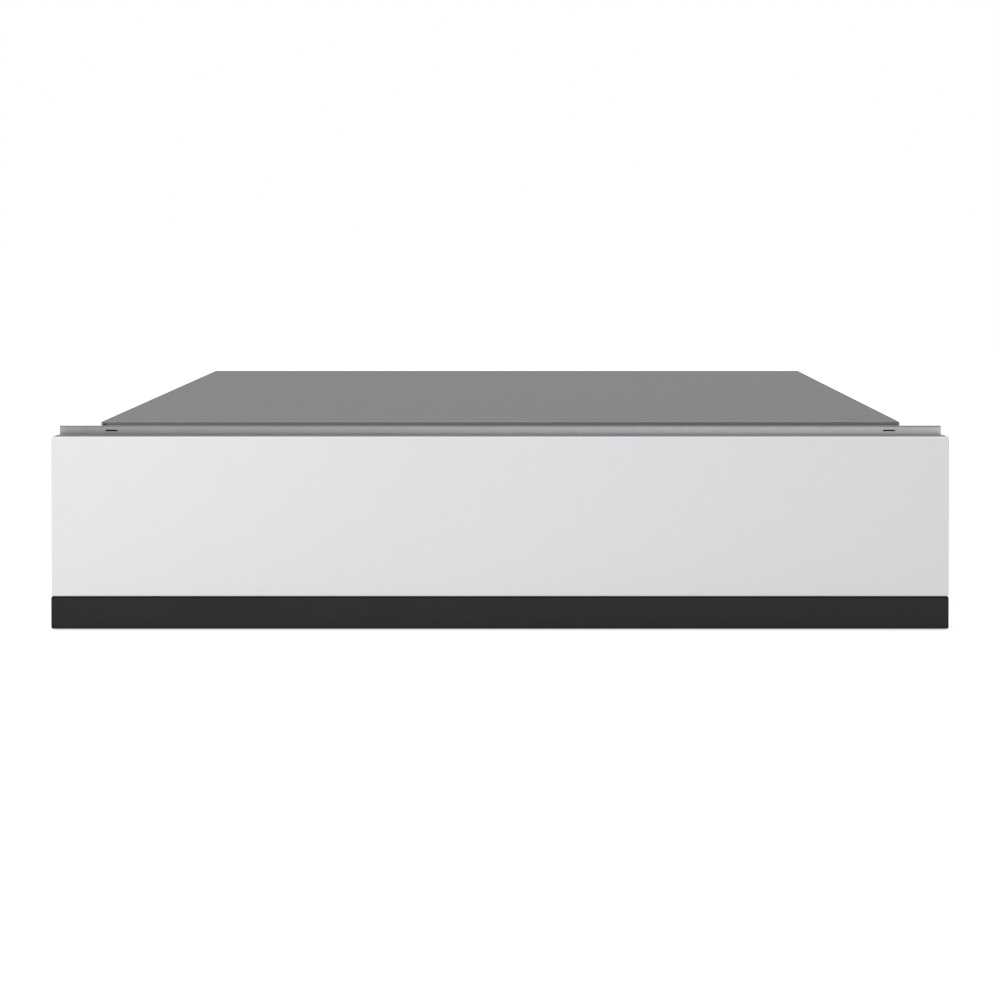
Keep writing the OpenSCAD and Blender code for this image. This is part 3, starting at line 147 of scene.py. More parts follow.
def finish_of(name, color, rough, metallic=0.0, contrast=0.04, patch=18.0, grain=900.0,
              stretch=EVEN, rough_spread=0.06, depth=0.02, strength=0.15, specular=0.5):
    """Cast, moulded or painted surface: soft patches in its colour, a grain in gloss and relief.

    patch and grain are the scales of the two textures, depth is the grain's, in millimetres.
    """
    tree, shader = new_material(name)
    patches = noise(tree, coordinates(tree), patch, detail=4.0, rough=0.55)
    texture = noise(tree, coordinates(tree, stretch), grain, detail=3.0, rough=0.6)
    feed(tree, shader, {
        "Metallic": metallic,
        "Specular IOR Level": specular,
        "Base Color": tint(tree, patches, *shades(color, contrast)),
        "Roughness": spread(tree, texture, max(0.02, rough - rough_spread), rough + rough_spread),
    })
    bump(tree, shader, texture, strength, depth * MM)


def brushed(name, color, rough, along="x", contrast=0.05):
    """Metal brushed along an axis."""
    stretch = {"x": (0.02, 1, 1), "y": (1, 0.02, 1)}[along]
    finish_of(name, color, rough, 1.0, contrast, patch=9.0, grain=1400.0, stretch=stretch,
              rough_spread=0.08, depth=0.01, strength=0.35)


def spangled(name, color, rough, metallic, contrast=0.03, size=90.0, specular=0.5):
    """Zinc-coated sheet: faint crystals over soft patches."""
    finish_of(name, color, rough, metallic, contrast * 0.5, patch=7.0, grain=1100.0,
              specular=specular)
    tree = MATERIALS[name].node_tree
    shader = tree.nodes["Principled BSDF"]
    crystals = add(tree, "ShaderNodeTexVoronoi", {"Scale": size, "Vector": coordinates(tree)})
    grey = add(tree, "ShaderNodeRGBToBW", {"Color": crystals.outputs["Color"]})
    patches = shader.inputs["Base Color"].links[0].from_socket
    crystal_tint = tint(tree, grey.outputs["Val"], *shades(color, contrast))
    mix = add(tree, "ShaderNodeMix", {"Factor": 0.5, "A": patches, "B": crystal_tint},
              data_type="RGBA")
    feed(tree, shader, {"Base Color": mix.outputs["Result"]})


def woven(name, dark, light, pitch, rough=0.7):
    """Coated glass cloth: two crossing sets of threads, pitch apart."""
    wave_period = 0.31  # distance between two bands of a wave texture of scale 1
    tree, shader = new_material(name)
    place = coordinates(tree)
    threads = [add(tree, "ShaderNodeTexWave",
                   {"Scale": wave_period / pitch, "Distortion": 0.6, "Vector": place},
                   wave_type="BANDS", bands_direction=axis).outputs["Fac"] for axis in ("X", "Y")]
    weave = add(tree, "ShaderNodeMath", {0: threads[0], 1: threads[1]},
                operation="MULTIPLY").outputs["Value"]
    feed(tree, shader, {
        "Sheen Weight": 0.15,
        "Base Color": tint(tree, weave, dark, light),
        "Roughness": spread(tree, weave, rough - 0.1, rough + 0.1, (0, 1)),
    })
    bump(tree, shader, weave, strength=0.5, distance=0.08 * MM)


def clear_glass(name, color, rough):
    """Clear pane with faint traces of wiping, up to rough."""
    tree, shader = new_material(name)
    traces = noise(tree, coordinates(tree, (1, 5, 1)), 14.0, detail=6.0, rough=0.7)
    feed(tree, shader, {
        "Base Color": (*color, 1),
        "Transmission Weight": 1.0,
        "IOR": 1.45,
        "Roughness": spread(tree, traces, 0.0, rough),
    })


def circuit(name, color, light):
    """Solder mask with copper tracks showing through."""
    tree, shader = new_material(name)
    tracks = add(tree, "ShaderNodeTexBrick", {
        "Color1": (*color, 1), "Color2": (*shaded(color, 0.8), 1), "Mortar": (*light, 1),
        "Scale": 90.0, "Mortar Size": 0.03, "Vector": coordinates(tree)})
    feed(tree, shader, {"Roughness": 0.35, "Base Color": tracks.outputs["Color"]})
    bump(tree, shader, tracks.outputs["Fac"], strength=0.2, distance=0.03 * MM)


# For the front
finish_of("white_glass", (0.742, 0.739, 0.764), 0.07, contrast=0.006, patch=3.0, grain=40.0,
          rough_spread=0.015, depth=0.002, strength=0.05)
# Lighter than the face: partly the ground edge's own pale tone, partly a painted highlight along
# the pane's edges.
finish_of("glass_arris", (0.88, 0.88, 0.895), 0.25, contrast=0.02, grain=1500.0, strength=0.1)
finish_of("glass_side", (0.36, 0.40, 0.385), 0.6, contrast=0.05, grain=1500.0, strength=0.2,
          specular=0.0)
finish_of("black_trim", (0.0133, 0.0108, 0.0112), 0.2, contrast=0.08, patch=30.0, grain=700.0,
          rough_spread=0.04, strength=0.05, specular=0.18)
# Darker and duller than the strip's face: painted shade along the strip's edges and sides, the dark
# line at the joint under the glass.
finish_of("trim_edge", (0.004, 0.0035, 0.0035), 0.6, contrast=0.08, grain=1500.0, specular=0.05)
# Darker grey: partly the carrier's own galvanised tone, partly painted shade for the dark gap
# between the glass's top and the frame.
spangled("carrier_steel", (0.205, 0.202, 0.213), 0.45, 0.45, contrast=0.02, size=160.0)

# For the housing
spangled("housing_steel", (0.246, 0.246, 0.246), 0.5, 0.15, contrast=0.02)
spangled("cover_steel", (0.183, 0.183, 0.183), 0.6, 0.0, contrast=0.012, specular=0.15)
# Lighter grey for the upper side of the cover's bends: a painted highlight along them.
spangled("painted_bend_highlight", (0.29, 0.29, 0.29), 0.5, 0.0, contrast=0.012, specular=0.3)
spangled("frame_steel", (0.37, 0.365, 0.385), 0.4, 0.75, size=160.0)
# Darker grey for the front frame's top bend: painted shade under the cover's front lip.
spangled("painted_frame_bend_shade", (0.25, 0.247, 0.26), 0.5, 0.5, size=160.0)
brushed("runner_steel", (0.60, 0.61, 0.62), 0.30, "y")
finish_of("zinc_screws", (0.62, 0.62, 0.63), 0.28, metallic=1.0, grain=2500.0)
finish_of("black_rubber", (0.022, 0.022, 0.022), 0.8, contrast=0.15, grain=2200.0, depth=0.03,
          strength=0.4)
finish_of("black_plastic", (0.026, 0.026, 0.028), 0.5, contrast=0.08, grain=2600.0, strength=0.3)
finish_of("grey_plastic", (0.09, 0.09, 0.095), 0.5, contrast=0.06, grain=2600.0, strength=0.3)
brushed("spring_steel", (0.42, 0.42, 0.43), 0.3)

# For drawer, chamber and lid
brushed("stainless", (0.50, 0.50, 0.51), 0.32, contrast=0.06)
finish_of("tub_steel", (0.47, 0.47, 0.48), 0.33, metallic=1.0, contrast=0.02, patch=5.0,
          grain=2600.0, depth=0.003, strength=0.02)
spangled("pan_steel", (0.36, 0.36, 0.37), 0.42, 0.6, contrast=0.05)
finish_of("silicone", (0.66, 0.66, 0.64), 0.55, contrast=0.03, grain=1800.0)
clear_glass("lid_glass", (0.93, 0.985, 0.965), 0.02)
finish_of("lid_edge", (0.42, 0.62, 0.55), 0.35, contrast=0.05, grain=1500.0, strength=0.2)
brushed("aluminium", (0.60, 0.60, 0.62), 0.32)
finish_of("brass", (0.62, 0.46, 0.20), 0.3, metallic=1.0, grain=2200.0)
brushed("heater_band", (0.20, 0.15, 0.11), 0.4, contrast=0.2)
woven("ptfe_tape", (0.17, 0.085, 0.04), (0.36, 0.20, 0.10), 0.9 * MM)
finish_of("control_glass", (0.010, 0.010, 0.011), 0.06, contrast=0.1, patch=20.0, grain=50.0,
          rough_spread=0.02, depth=0.002, strength=0.05)
finish_of("print", (0.68, 0.70, 0.72), 0.5, contrast=0.03, grain=2000.0)

# For pump and electrics
circuit("circuit_board", (0.012, 0.09, 0.04), (0.03, 0.16, 0.07))
finish_of("cast_aluminium", (0.42, 0.43, 0.44), 0.5, metallic=0.9, contrast=0.08, grain=1500.0,
          depth=0.06, strength=0.6)
finish_of("motor_paint", (0.045, 0.048, 0.055), 0.4, grain=1500.0, strength=0.3)
finish_of("cap_sleeve", (0.015, 0.018, 0.03), 0.35, contrast=0.05, grain=2000.0, strength=0.1)
finish_of("winding_tape", (0.60, 0.42, 0.06), 0.4, contrast=0.05, grain=1800.0, strength=0.2)
finish_of("winding_wire", (0.36, 0.13, 0.055), 0.35, metallic=0.4, contrast=0.12, grain=1500.0,
          stretch=(0.02, 1, 1), depth=0.15, strength=0.8)
brushed("copper", (0.52, 0.24, 0.11), 0.35)
brushed("dark_steel", (0.22, 0.22, 0.23), 0.4)
finish_of("hose_rubber", (0.45, 0.45, 0.40), 0.45, contrast=0.05, grain=1500.0)
finish_of("filter_paper", (0.66, 0.63, 0.53), 0.85, contrast=0.08, grain=1200.0, strength=0.4)

slot_of = {part["node"]: part["material_slot"] for part in frame["record"]["subparts"]}
for name, node in nodes.items():
    node.data.materials.clear()
    node.data.materials.append(MATERIALS[slot_of[name]])


# Meshes

WELD = 2e-6             # distance, in metres, within which a CAD solid's points are one
NEAR = 1e-5             # how close to a limit, in metres, a point counts as on it
FLAT = 0.5              # angle, in degrees, up to which faces are made one
CORNER = 30             # least angle, in degrees, of an edge that soft_edges rounds
FOLD = 35               # the same for bends
LEVEL = 0.999           # a face whose normal rises more lies flat


def body_of(node):
    return nodes[node]["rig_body"]


def made(name, bm, node, materials, replaces=(), smooth=40, weighted=True):
    """A piece from bm, in the given materials, that rides with the body of a CAD node.

    smooth is the angle, in degrees, up to which faces are shaded as one.
    """
    bmesh.ops.remove_doubles(bm, verts=bm.verts, dist=1e-6)
    bmesh.ops.dissolve_degenerate(bm, edges=bm.edges, dist=1e-7)
    bmesh.ops.recalc_face_normals(bm, faces=bm.faces)
    mesh = bpy.data.meshes.new(name)
    bm.to_mesh(mesh)
    bm.free()
    for material in materials:
        mesh.materials.append(MATERIALS[material])
    mesh.polygons.foreach_set("use_smooth", [True] * len(mesh.polygons))
    mesh.set_sharp_from_angle(angle=math.radians(smooth))
    piece = bpy.data.objects.new(name, mesh)
    bpy.context.scene.collection.objects.link(piece)
    if weighted:
        piece.modifiers.new("normals", "WEIGHTED_NORMAL").keep_sharp = True
    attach(piece, body_of(node))
    if replaces:
        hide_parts(*replaces)


def welded(node):
    """The mesh of a CAD solid with its points joined."""
    bm = bmesh.new()
    bm.from_mesh(nodes[node].data)
    bmesh.ops.remove_doubles(bm, verts=bm.verts, dist=WELD)
    return bm


def flat_faced(node):
    """The mesh of a CAD solid with each flat face in one."""
    bm = welded(node)
    bmesh.ops.dissolve_limit(bm, angle_limit=math.radians(FLAT), verts=bm.verts, edges=bm.edges)
    return bm


def round_edges(bm, width, segments, angle, pick=None):
    """Rounds the edges sharper than angle that pick takes by their ends; returns the new faces."""
    edges = [e for e in bm.edges if len(e.link_faces) == 2
             and e.calc_face_angle(0) > math.radians(angle)
             and (pick is None or pick(e.verts[0].co, e.verts[1].co))]
    return bmesh.ops.bevel(bm, geom=edges, offset=width * MM, segments=segments, profile=0.5,
                           affect="EDGES", clamp_overlap=True, loop_slide=True)["faces"]


def soft_edges(node, name, width, segments, others=()):
    """The CAD solid with its edges rounded, in the same place.

    others lists further materials, each with a test of a face's centre, in millimetres, and its
    normal; the first test that a face passes gives its material.
    """
    bm = flat_faced(node)
    round_edges(bm, width, segments, CORNER)
    bm.normal_update()
    for face in bm.faces:
        centre = face.calc_center_median() / MM
        passed = [i for i, (_, test) in enumerate(others) if test(centre, face.normal)]
        if passed:
            face.material_index = passed[0] + 1
    made(name, bm, node, [slot_of[node]] + [other for other, _ in others], (node,))


def soft_pieces(*rows):
    """soft_edges for each row of node, name, width in millimetres and segments."""
    for row in rows:
        soft_edges(*row)


def bends(node, name, pick, width, rest, segments, material, crest=None, crest_from=0.8):
    """A folded sheet: the edges that pick takes get the bend's width, the others are only broken.

    The upper side of a bend takes the material crest, a grey that paints light on it: a lighter
    grey as a painted highlight along the cover's bends, a darker one as painted shade at the front
    frame's top edge. It goes on each new face whose normal rises more than crest_from, and which
    doesn't lie flat.
    """
    bm = flat_faced(node)
    for face in round_edges(bm, width, segments, FOLD, pick):
        face.normal_update()
        if crest and crest_from < face.normal.z < LEVEL:
            face.material_index = 1
    round_edges(bm, rest, 1, FOLD)
    made(name, bm, node, [material] + ([crest] if crest else []), (node,))


def circle(r, n):
    return [(r * math.cos(2 * math.pi * i / n), r * math.sin(2 * math.pi * i / n))
            for i in range(n)]


def corner_ring(x, y, r, n=8):
    """Rounded rectangle as points, counter-clockwise; the same count whatever r is."""
    points = []
    for cx, cy, start in ((x[1] - r, y[1] - r, 0), (x[0] + r, y[1] - r, 90),
                          (x[0] + r, y[0] + r, 180), (x[1] - r, y[0] + r, 270)):
        for i in range(n + 1):
            a = math.radians(start + 90 * i / n)
            points.append((cx + r * math.cos(a), cy + r * math.sin(a)))
    return points


def upright(points, y):
    return [Vector((u, y, v)) for u, v in points]


def flat(points, z):
    return [Vector((u, v, z)) for u, v in points]


def loft(bm, rings, closed=False):
    """Faces between rings of points, then the two ends, unless the last ring meets the first."""
    rows = [[bm.verts.new(p) for p in ring] for ring in rings]
    count = len(rows[0])
    pairs = list(zip(rows, rows[1:]))
    if closed:
        pairs.append((rows[-1], rows[0]))
    faces = []
    for a, b in pairs:
        for i in range(count):
            j = (i + 1) % count
            faces.append(bm.faces.new((a[i], a[j], b[j], b[i])))
    if not closed:
        faces.append(bm.faces.new(rows[0][::-1]))
        faces.append(bm.faces.new(rows[-1]))
    return faces


def turn_to(axis):
    """Rotation that takes +Z to axis."""
    return Vector((0, 0, 1)).rotation_difference(Vector(axis)).to_matrix()


def lathe(bm, profile, centre, axis, n, closed=False):
    """Turned shape: profile of (radius, height) around an axis through centre."""
    turn = turn_to(axis)
    loft(bm, [[Vector(centre) + turn @ Vector((x, y, h)) for x, y in circle(r, n)]
              for r, h in profile], closed)


def tube(bm, points, r, n):
    """Round tube along points, carried without twist."""
    points = [Vector(p) for p in points]
    last = len(points) - 1
    tangents = [(points[min(i + 1, last)] - points[max(i - 1, 0)]).normalized()
                for i in range(len(points))]
    side = tangents[0].orthogonal().normalized()
    rings = []
    for point, tangent in zip(points, tangents):
        side = (side - tangent * side.dot(tangent)).normalized()
        up = tangent.cross(side)
        rings.append([point + r * (side * x + up * y) for x, y in circle(1, n)])
    loft(bm, rings)


def edge_profile(width, steps):
    """Inset and set-back of a rounded edge, from the face outwards."""
    return [(width * (1 - math.sin(math.radians(a))), width * (1 - math.cos(math.radians(a))))
            for a in [90 * i / steps for i in range(steps + 1)]]


def slab_piece(name, node, r, width, steps, materials, standing=False):
    """Plate in a node's box with corners of radius r and edges rounded by width, in millimetres.

    Standing plates face -Y, others lie flat. Materials: of the faces, the arrises and the sides.
    """
    lo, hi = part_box(node)
    if standing:
        u, v, w, put = (lo.x, hi.x), (lo.z, hi.z), (lo.y, hi.y), upright
    else:
        u, v, w, put = (lo.x, hi.x), (lo.y, hi.y), (lo.z, hi.z), flat
    profile = edge_profile(width * MM, steps)
    levels = [(inset, w[0] + back) for inset, back in profile]
    levels += [(inset, w[1] - back) for inset, back in reversed(profile)]
    rings = [put(corner_ring((u[0] + inset, u[1] - inset), (v[0] + inset, v[1] - inset),
                             r * MM - inset), at) for inset, at in levels]
    arris, side = min(1, len(materials) - 1), len(materials) - 1
    bm = bmesh.new()
    for i, face in enumerate(loft(bm, rings)[:-2]):
        face.material_index = side if i // len(rings[0]) == steps else arris
    made(name, bm, node, materials, (node,))


# Front

slab_piece("front_pane", "front_glass", 1.0, 0.5, 1,
           ["white_glass", "glass_arris", "glass_side"], standing=True)
# The strip's arrises and sides take trim_edge, painted shade along the joint under the glass.
slab_piece("front_strip", "design_strip", 1.0, 0.6, 2, ["black_trim", "trim_edge"],
           standing=True)
soft_pieces(("front_carrier", "front_shell", 0.4, 2), ("strip_clips", "front_clips", 0.3, 1))


# Housing

cover_lo, cover_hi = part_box("top_cover")
base_lo, base_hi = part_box("housing_base")
frame_lo, frame_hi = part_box("front_frame")


def on_cover_bend(a, b):
    """The upper edges at the cover's sides, front and back."""
    return all(p.z > cover_hi.z - NEAR for p in (a, b)) and (
        all(abs(p.x) > cover_hi.x - NEAR for p in (a, b))
        or all(p.y < cover_lo.y + NEAR for p in (a, b))
        or all(p.y > cover_hi.y - NEAR for p in (a, b)))


def on_base_bend(a, b):
    """The lower edges at the base's sides and back."""
    return all(p.z < base_lo.z + NEAR for p in (a, b)) and (
        all(abs(p.x) > base_hi.x - NEAR for p in (a, b))
        or all(p.y > base_hi.y - NEAR for p in (a, b)))


def on_frame_top(a, b):
    """The upper front edge of the flange."""
    return all(p.z > frame_hi.z - NEAR and p.y < frame_lo.y + NEAR for p in (a, b))


# The cover's upper bends take a lighter grey, a painted highlight along the bends.
bends("top_cover", "housing_cover", on_cover_bend, 0.9, 0.2, 4, "cover_steel", "painted_bend_highlight")
bends("housing_base", "housing_floor", on_base_bend, 0.9, 0.2, 3, slot_of["housing_base"])
# The frame's top bend takes a darker grey, painted shade under the cover's front lip.
bends("front_frame", "mounting_frame", on_frame_top, 1.0, 0.25, 4, slot_of["front_frame"],
      "painted_frame_bend_shade", 0.1)
soft_pieces(("rear_panel", "housing_back", 0.2, 1),
            ("side_panel_left", "housing_side_left", 0.2, 1),
            ("side_panel_right", "housing_side_right", 0.2, 1))

# Profiles in shares of radius and height: pads from the frame forwards, feet from the floor up
PAD_R, FOOT_R = 6 * MM, 10 * MM
PAD_PROFILE = [(0.6, 0), (1, 0), (1, 0.3), (0.93, 0.75), (0.7, 0.97), (0.3, 1)]
FOOT_PROFILE = [(0.3, 0.5), (0.45, 0.05), (0.5, 0), (0.86, 0), (0.95, 0.12), (1, 0.35), (1, 1)]

bm = bmesh.new()
pad_lo, pad_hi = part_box("bumper_pads")
for x in (pad_lo.x + PAD_R, pad_hi.x - PAD_R):
    for z in (pad_lo.z + PAD_R, pad_hi.z - PAD_R):
        lathe(bm, [(r * PAD_R, h * (pad_hi.y - pad_lo.y)) for r, h in PAD_PROFILE],
              (x, pad_hi.y, z), (0, -1, 0), 32)
made("front_buffers", bm, "bumper_pads", ["black_rubber"], ("bumper_pads",))

bm = bmesh.new()
foot_lo, foot_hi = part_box("feet")
for x in (foot_lo.x + FOOT_R, foot_hi.x - FOOT_R):
    for y in (foot_lo.y + FOOT_R, foot_hi.y - FOOT_R):
        lathe(bm, [(r * FOOT_R, h * (foot_hi.z - foot_lo.z)) for r, h in FOOT_PROFILE],
              (x, y, foot_lo.z), (0, 0, 1), 40)
made("rubber_feet", bm, "feet", ["black_rubber"], ("feet",))


# Screws

# Radius and height of the head and radius of the shank, in millimetres
SCREW_HEAD, SCREW_RISE, SCREW_SHANK = 3.5, 2.0, 1.75
# Share of its height that the head falls by towards its rim, and the power of that fall
DOME, DOME_POWER = 0.45, 2.6
# Cross recess: half width, reach and the place where it runs out, in radii, and depth, in heights
CROSS_ARM, CROSS_REACH, CROSS_FADE, CROSS_DEPTH = 0.13, 0.60, 0.62, 0.55
# Share of the shank's length before the tip, and share of its radius at the tip
TIP, TIP_R = 0.92, 0.7
HEAD_RINGS = (0.12, 0.2, 0.3, 0.42, 0.52, 0.62, 0.75, 0.88, 0.96, 1.0)     # in radii
# Points further from the axis than this many radii of the shank are the head's
BESIDE_SHANK = 1.3


def islands(node):
    """The separate solids of a CAD node, as lists of points."""
    bm = welded(node)
    left = set(bm.verts)
    found = []
    for first in bm.verts:
        if first not in left:
            continue
        left.remove(first)
        todo, points = [first], []
        while todo:
            vertex = todo.pop()
            points.append(vertex.co.copy())
            for edge in vertex.link_edges:
                other = edge.other_vert(vertex)
                if other in left:
                    left.remove(other)
                    todo.append(other)
        found.append(points)
    bm.free()
    return found


def pan_head(bm, centre, axis, r, h, length, shank):
    """Domed screw head with a cross recess, on its shank; centre lies under the head."""
    turn = turn_to(axis)
    count = 32

    def top(x, y):
        d = math.hypot(x, y) / r
        z = h * (1 - DOME * d ** DOME_POWER)
        if d < CROSS_REACH and min(abs(x), abs(y)) < CROSS_ARM * r:
            z -= h * CROSS_DEPTH * (1 - (d / CROSS_FADE) ** 2)
        return z

    rows = [[Vector((0, 0, top(0, 0)))] * count]
    rows += [[Vector((x, y, 0)) for x, y in circle(d * r, count)] for d in HEAD_RINGS]
    for row in rows[1:]:
        for p in row:
            p.z = top(p.x, p.y)
    rows.append([Vector((p.x, p.y, 0)) for p in rows[-1]])
    rows.append([Vector((shank * p.x / r, shank * p.y / r, 0)) for p in rows[-1]])
    rows.append([Vector((p.x, p.y, -length * TIP)) for p in rows[-1]])
    rows.append([Vector((p.x * TIP_R, p.y * TIP_R, -length)) for p in rows[-1]])
    loft(bm, [[Vector(centre) + turn @ p for p in row] for row in rows])


def screw_piece(name, node):
    """A detailed screw for each solid of a node of screws."""
    bm = bmesh.new()
    for points in islands(node):
        lo = Vector([min(p[i] for p in points) for i in range(3)])
        hi = Vector([max(p[i] for p in points) for i in range(3)])
        size, mid = hi - lo, (lo + hi) / 2
        # The axis is the direction in which the solid's size is least like its head's width
        i = max(range(3), key=lambda k: abs(size[k] - 2 * SCREW_HEAD * MM))
        across = [k for k in range(3) if k != i]
        head = [p[i] for p in points
                if math.hypot(*(p[k] - mid[k] for k in across)) > SCREW_SHANK * BESIDE_SHANK * MM]
        up = 1 if sum(head) / len(head) > mid[i] else -1
        axis = [0, 0, 0]
        axis[i] = up
        centre = mid.copy()
        centre[i] = (hi[i] if up > 0 else lo[i]) - up * SCREW_RISE * MM
        pan_head(bm, centre, axis, SCREW_HEAD * MM, SCREW_RISE * MM, size[i] - SCREW_RISE * MM,
                 SCREW_SHANK * MM)
    made(name, bm, node, [slot_of[node]], (node,), smooth=50, weighted=False)


screw_piece("housing_fixings", "housing_screws")
screw_piece("drawer_fixings", "drawer_screws")
screw_piece("lid_fixings", "lid_screws")


# Runners, latch and drawer

for member in ("outer", "middle", "inner"):
    for side in ("left", "right"):
        soft_edges(f"runner_{member}_{side}", f"slide_{member}_{side}", 0.3, 2)
soft_pieces(("runner_rivets", "runner_studs", 0.6, 3),
            ("drawer_rivets", "drawer_studs", 0.6, 3),
            ("latch_body", "latch_case", 0.8, 2),
            ("latch_plunger", "latch_pin", 0.4, 2),
            ("drawer_pan", "drawer_tray", 0.3, 1),
            ("deck_plate", "deck", 0.3, 2))


# Chamber

QUARTER = [math.radians(15 * i) for i in range(7)]
TUB_RIM, TUB_SHEET, TUB_CORNER = 12 * MM, 1.5 * MM, 20 * MM
OUTER_FILLET, INNER_FILLET, TUB_LIP = 9.5 * MM, 8 * MM, 3 * MM
tub_lo, tub_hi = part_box("vacuum_chamber")
tub_y = (tub_lo.y + tub_hi.y) / 2
inner_x, inner_y = tub_hi.x - TUB_RIM, (tub_hi.y - tub_lo.y) / 2 - TUB_RIM
deck_z, floor_z = tub_hi.z - TUB_SHEET, tub_lo.z + TUB_SHEET


def tub_ring(offset, z):
    """Ring at this distance outside the tub's inner wall."""
    return flat(corner_ring((-inner_x - offset, inner_x + offset),
                            (tub_y - inner_y - offset, tub_y + inner_y + offset),
                            TUB_CORNER + offset, 12), z)


# From the underside up the outer wall, round the rim with its broken edges and down the inner
# wall to the floor
rings = [tub_ring(TUB_SHEET - OUTER_FILLET * (1 - math.sin(a)),
                  tub_lo.z + OUTER_FILLET * (1 - math.cos(a))) for a in QUARTER]
rings += [tub_ring(TUB_SHEET + out * MM, deck_z - down * MM)
          for out, down in ((0, 1), (0.3, 0.3), (1, 0))]
rings += [tub_ring(TUB_RIM - 0.2 * MM, deck_z), tub_ring(TUB_RIM, deck_z + 0.3 * MM),
          tub_ring(TUB_RIM, tub_hi.z - 0.4 * MM), tub_ring(TUB_RIM - 0.4 * MM, tub_hi.z)]
rings += [tub_ring(TUB_LIP * (1 - math.sin(a)), tub_hi.z - TUB_LIP * (1 - math.cos(a)))
          for a in QUARTER]
rings += [tub_ring(-INNER_FILLET * (1 - math.cos(a)), floor_z + INNER_FILLET * (1 - math.sin(a)))
          for a in QUARTER]
bm = bmesh.new()
loft(bm, rings)
made("chamber_tub", bm, "vacuum_chamber", ["tub_steel"], ("vacuum_chamber",), smooth=35)

# Gasket: a foot strip with a bulb on it, in millimetres
SEAL_HALF, SEAL_CORNER = 3.5, 26
BULB_R, BULB_Z = 2.35, 1.65
seal_foot = [(SEAL_HALF, 0), (SEAL_HALF, 0.8), (3.2, 1.1), (2.4, 1.2)]
seal_profile = [(-u, h) for u, h in seal_foot]
seal_profile += [(BULB_R * math.cos(math.radians(a)), BULB_Z + BULB_R * math.sin(math.radians(a)))
                 for a in range(180, -1, -15)]
seal_profile += reversed(seal_foot)
seal_lo, seal_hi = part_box("chamber_gasket")
seal_x = seal_hi.x - SEAL_HALF * MM
seal_y, seal_d = (seal_lo.y + seal_hi.y) / 2, (seal_hi.y - seal_lo.y) / 2 - SEAL_HALF * MM
bm = bmesh.new()
loft(bm, [flat(corner_ring((-seal_x - u * MM, seal_x + u * MM),
                           (seal_y - seal_d - u * MM, seal_y + seal_d + u * MM),
                           SEAL_CORNER * MM + u * MM, 12), seal_lo.z + h * MM)
          for u, h in seal_profile], closed=True)
made("chamber_seal", bm, "chamber_gasket", ["silicone"], ("chamber_gasket",), smooth=50,
     weighted=False)

soft_pieces(("suction_port", "suction_cap", 0.4, 2), ("lift_sleeves", "lift_guides", 0.6, 2))

# Sealing bar, tape and counter bar
soft_pieces(("sealing_bar", "bar_body", 0.6, 2), ("heating_band", "bar_band", 0.2, 1))
slab_piece("bar_tape", "band_tape", 0.8, 0.12, 2, ["ptfe_tape"])
slab_piece("pressure_strip", "counter_bar", 1.2, 1.0, 3, ["silicone"])
soft_edges("counter_bar_holder", "pressure_strip_rail", 0.4, 2)

# Lid
slab_piece("lid_pane", "lid_glass", 12.0, 0.9, 2, ["lid_glass", "lid_edge"])
soft_pieces(("lid_brackets", "hinge_brackets", 0.4, 2),
            ("lid_grip", "lid_handle", 0.4, 2),
            ("hinge_mounts", "hinge_stands", 0.3, 2),
            ("hinge_pins", "hinge_axles", 0.4, 2))


# Springs, along the routes of their solids, in millimetres

HINGE_X, HINGE_Y, HINGE_Z = 135, 63.0, 100.0    # middle of the right-hand hinge, on its pin
LID_WIRE, LID_COIL_R, LID_TURNS, LID_PITCH = 1.6, 4.5, 6, 2.2
LID_SPRING_OUT = 26.3                           # from there to the first turn
LEG_FRONT, LEG_BACK = (15, 96.5), (10, 94.1)    # reach and end height of the legs
LEG_Z, LEG_BENDS = 95.3, (5, 3.4)               # height and places of the legs' bends
LATCH_FRONT, LATCH_END, LATCH_Z = 235.0, 268.0, 52.5
LATCH_WIRE, LATCH_COIL_R, LATCH_TURNS = 0.8, 2.3, 12


def helix(r, pitch, turns, steps, start=0):
    """Points (along, across, up) of a coil, steps to a turn, from an angle in degrees on."""
    path = []
    for i in range(turns * steps + 1):
        a = math.radians(start + 360 * i / steps)
        path.append((pitch * i / steps, r * math.cos(a), r * math.sin(a)))
    return path


def smooth_path(points):
    """Points on a smooth curve through the given ones."""
    steps = 6
    points = [Vector(p) for p in points]
    path = []
    for i in range(len(points) - 1):
        p0, p1, p2, p3 = (points[min(max(k, 0), len(points) - 1)] for k in range(i - 1, i + 3))
        for k in range(steps):
            t = k / steps
            path.append(0.5 * (2 * p1 + (p2 - p0) * t + (2 * p0 - 5 * p1 + 4 * p2 - p3) * t * t
                               + (3 * p1 - p0 - 3 * p2 + p3) * t ** 3))
    return path + [points[-1]]


first_x = HINGE_X + LID_SPRING_OUT
last_x = first_x + LID_PITCH * LID_TURNS
coil = [(first_x + along, HINGE_Y + across, HINGE_Z + up)
        for along, across, up in helix(LID_COIL_R, LID_PITCH, LID_TURNS, 24, -90)]
lead_in = smooth_path([(first_x, HINGE_Y - LEG_FRONT[0], LEG_FRONT[1]),
                       (first_x, HINGE_Y - LEG_BENDS[0], LEG_Z), coil[0]])[:-1]
lead_out = smooth_path([coil[-1], (last_x, HINGE_Y + LEG_BENDS[1], LEG_Z),
                        (last_x, HINGE_Y + LEG_BACK[0], LEG_BACK[1])])[1:]
bm = bmesh.new()
for side in (-1, 1):
    tube(bm, [Vector((side * x, y, z)) * MM for x, y, z in lead_in + coil + lead_out],
         LID_WIRE / 2 * MM, 12)
made("hinge_springs", bm, "lid_springs", ["spring_steel"], ("lid_springs",), smooth=60,
     weighted=False)

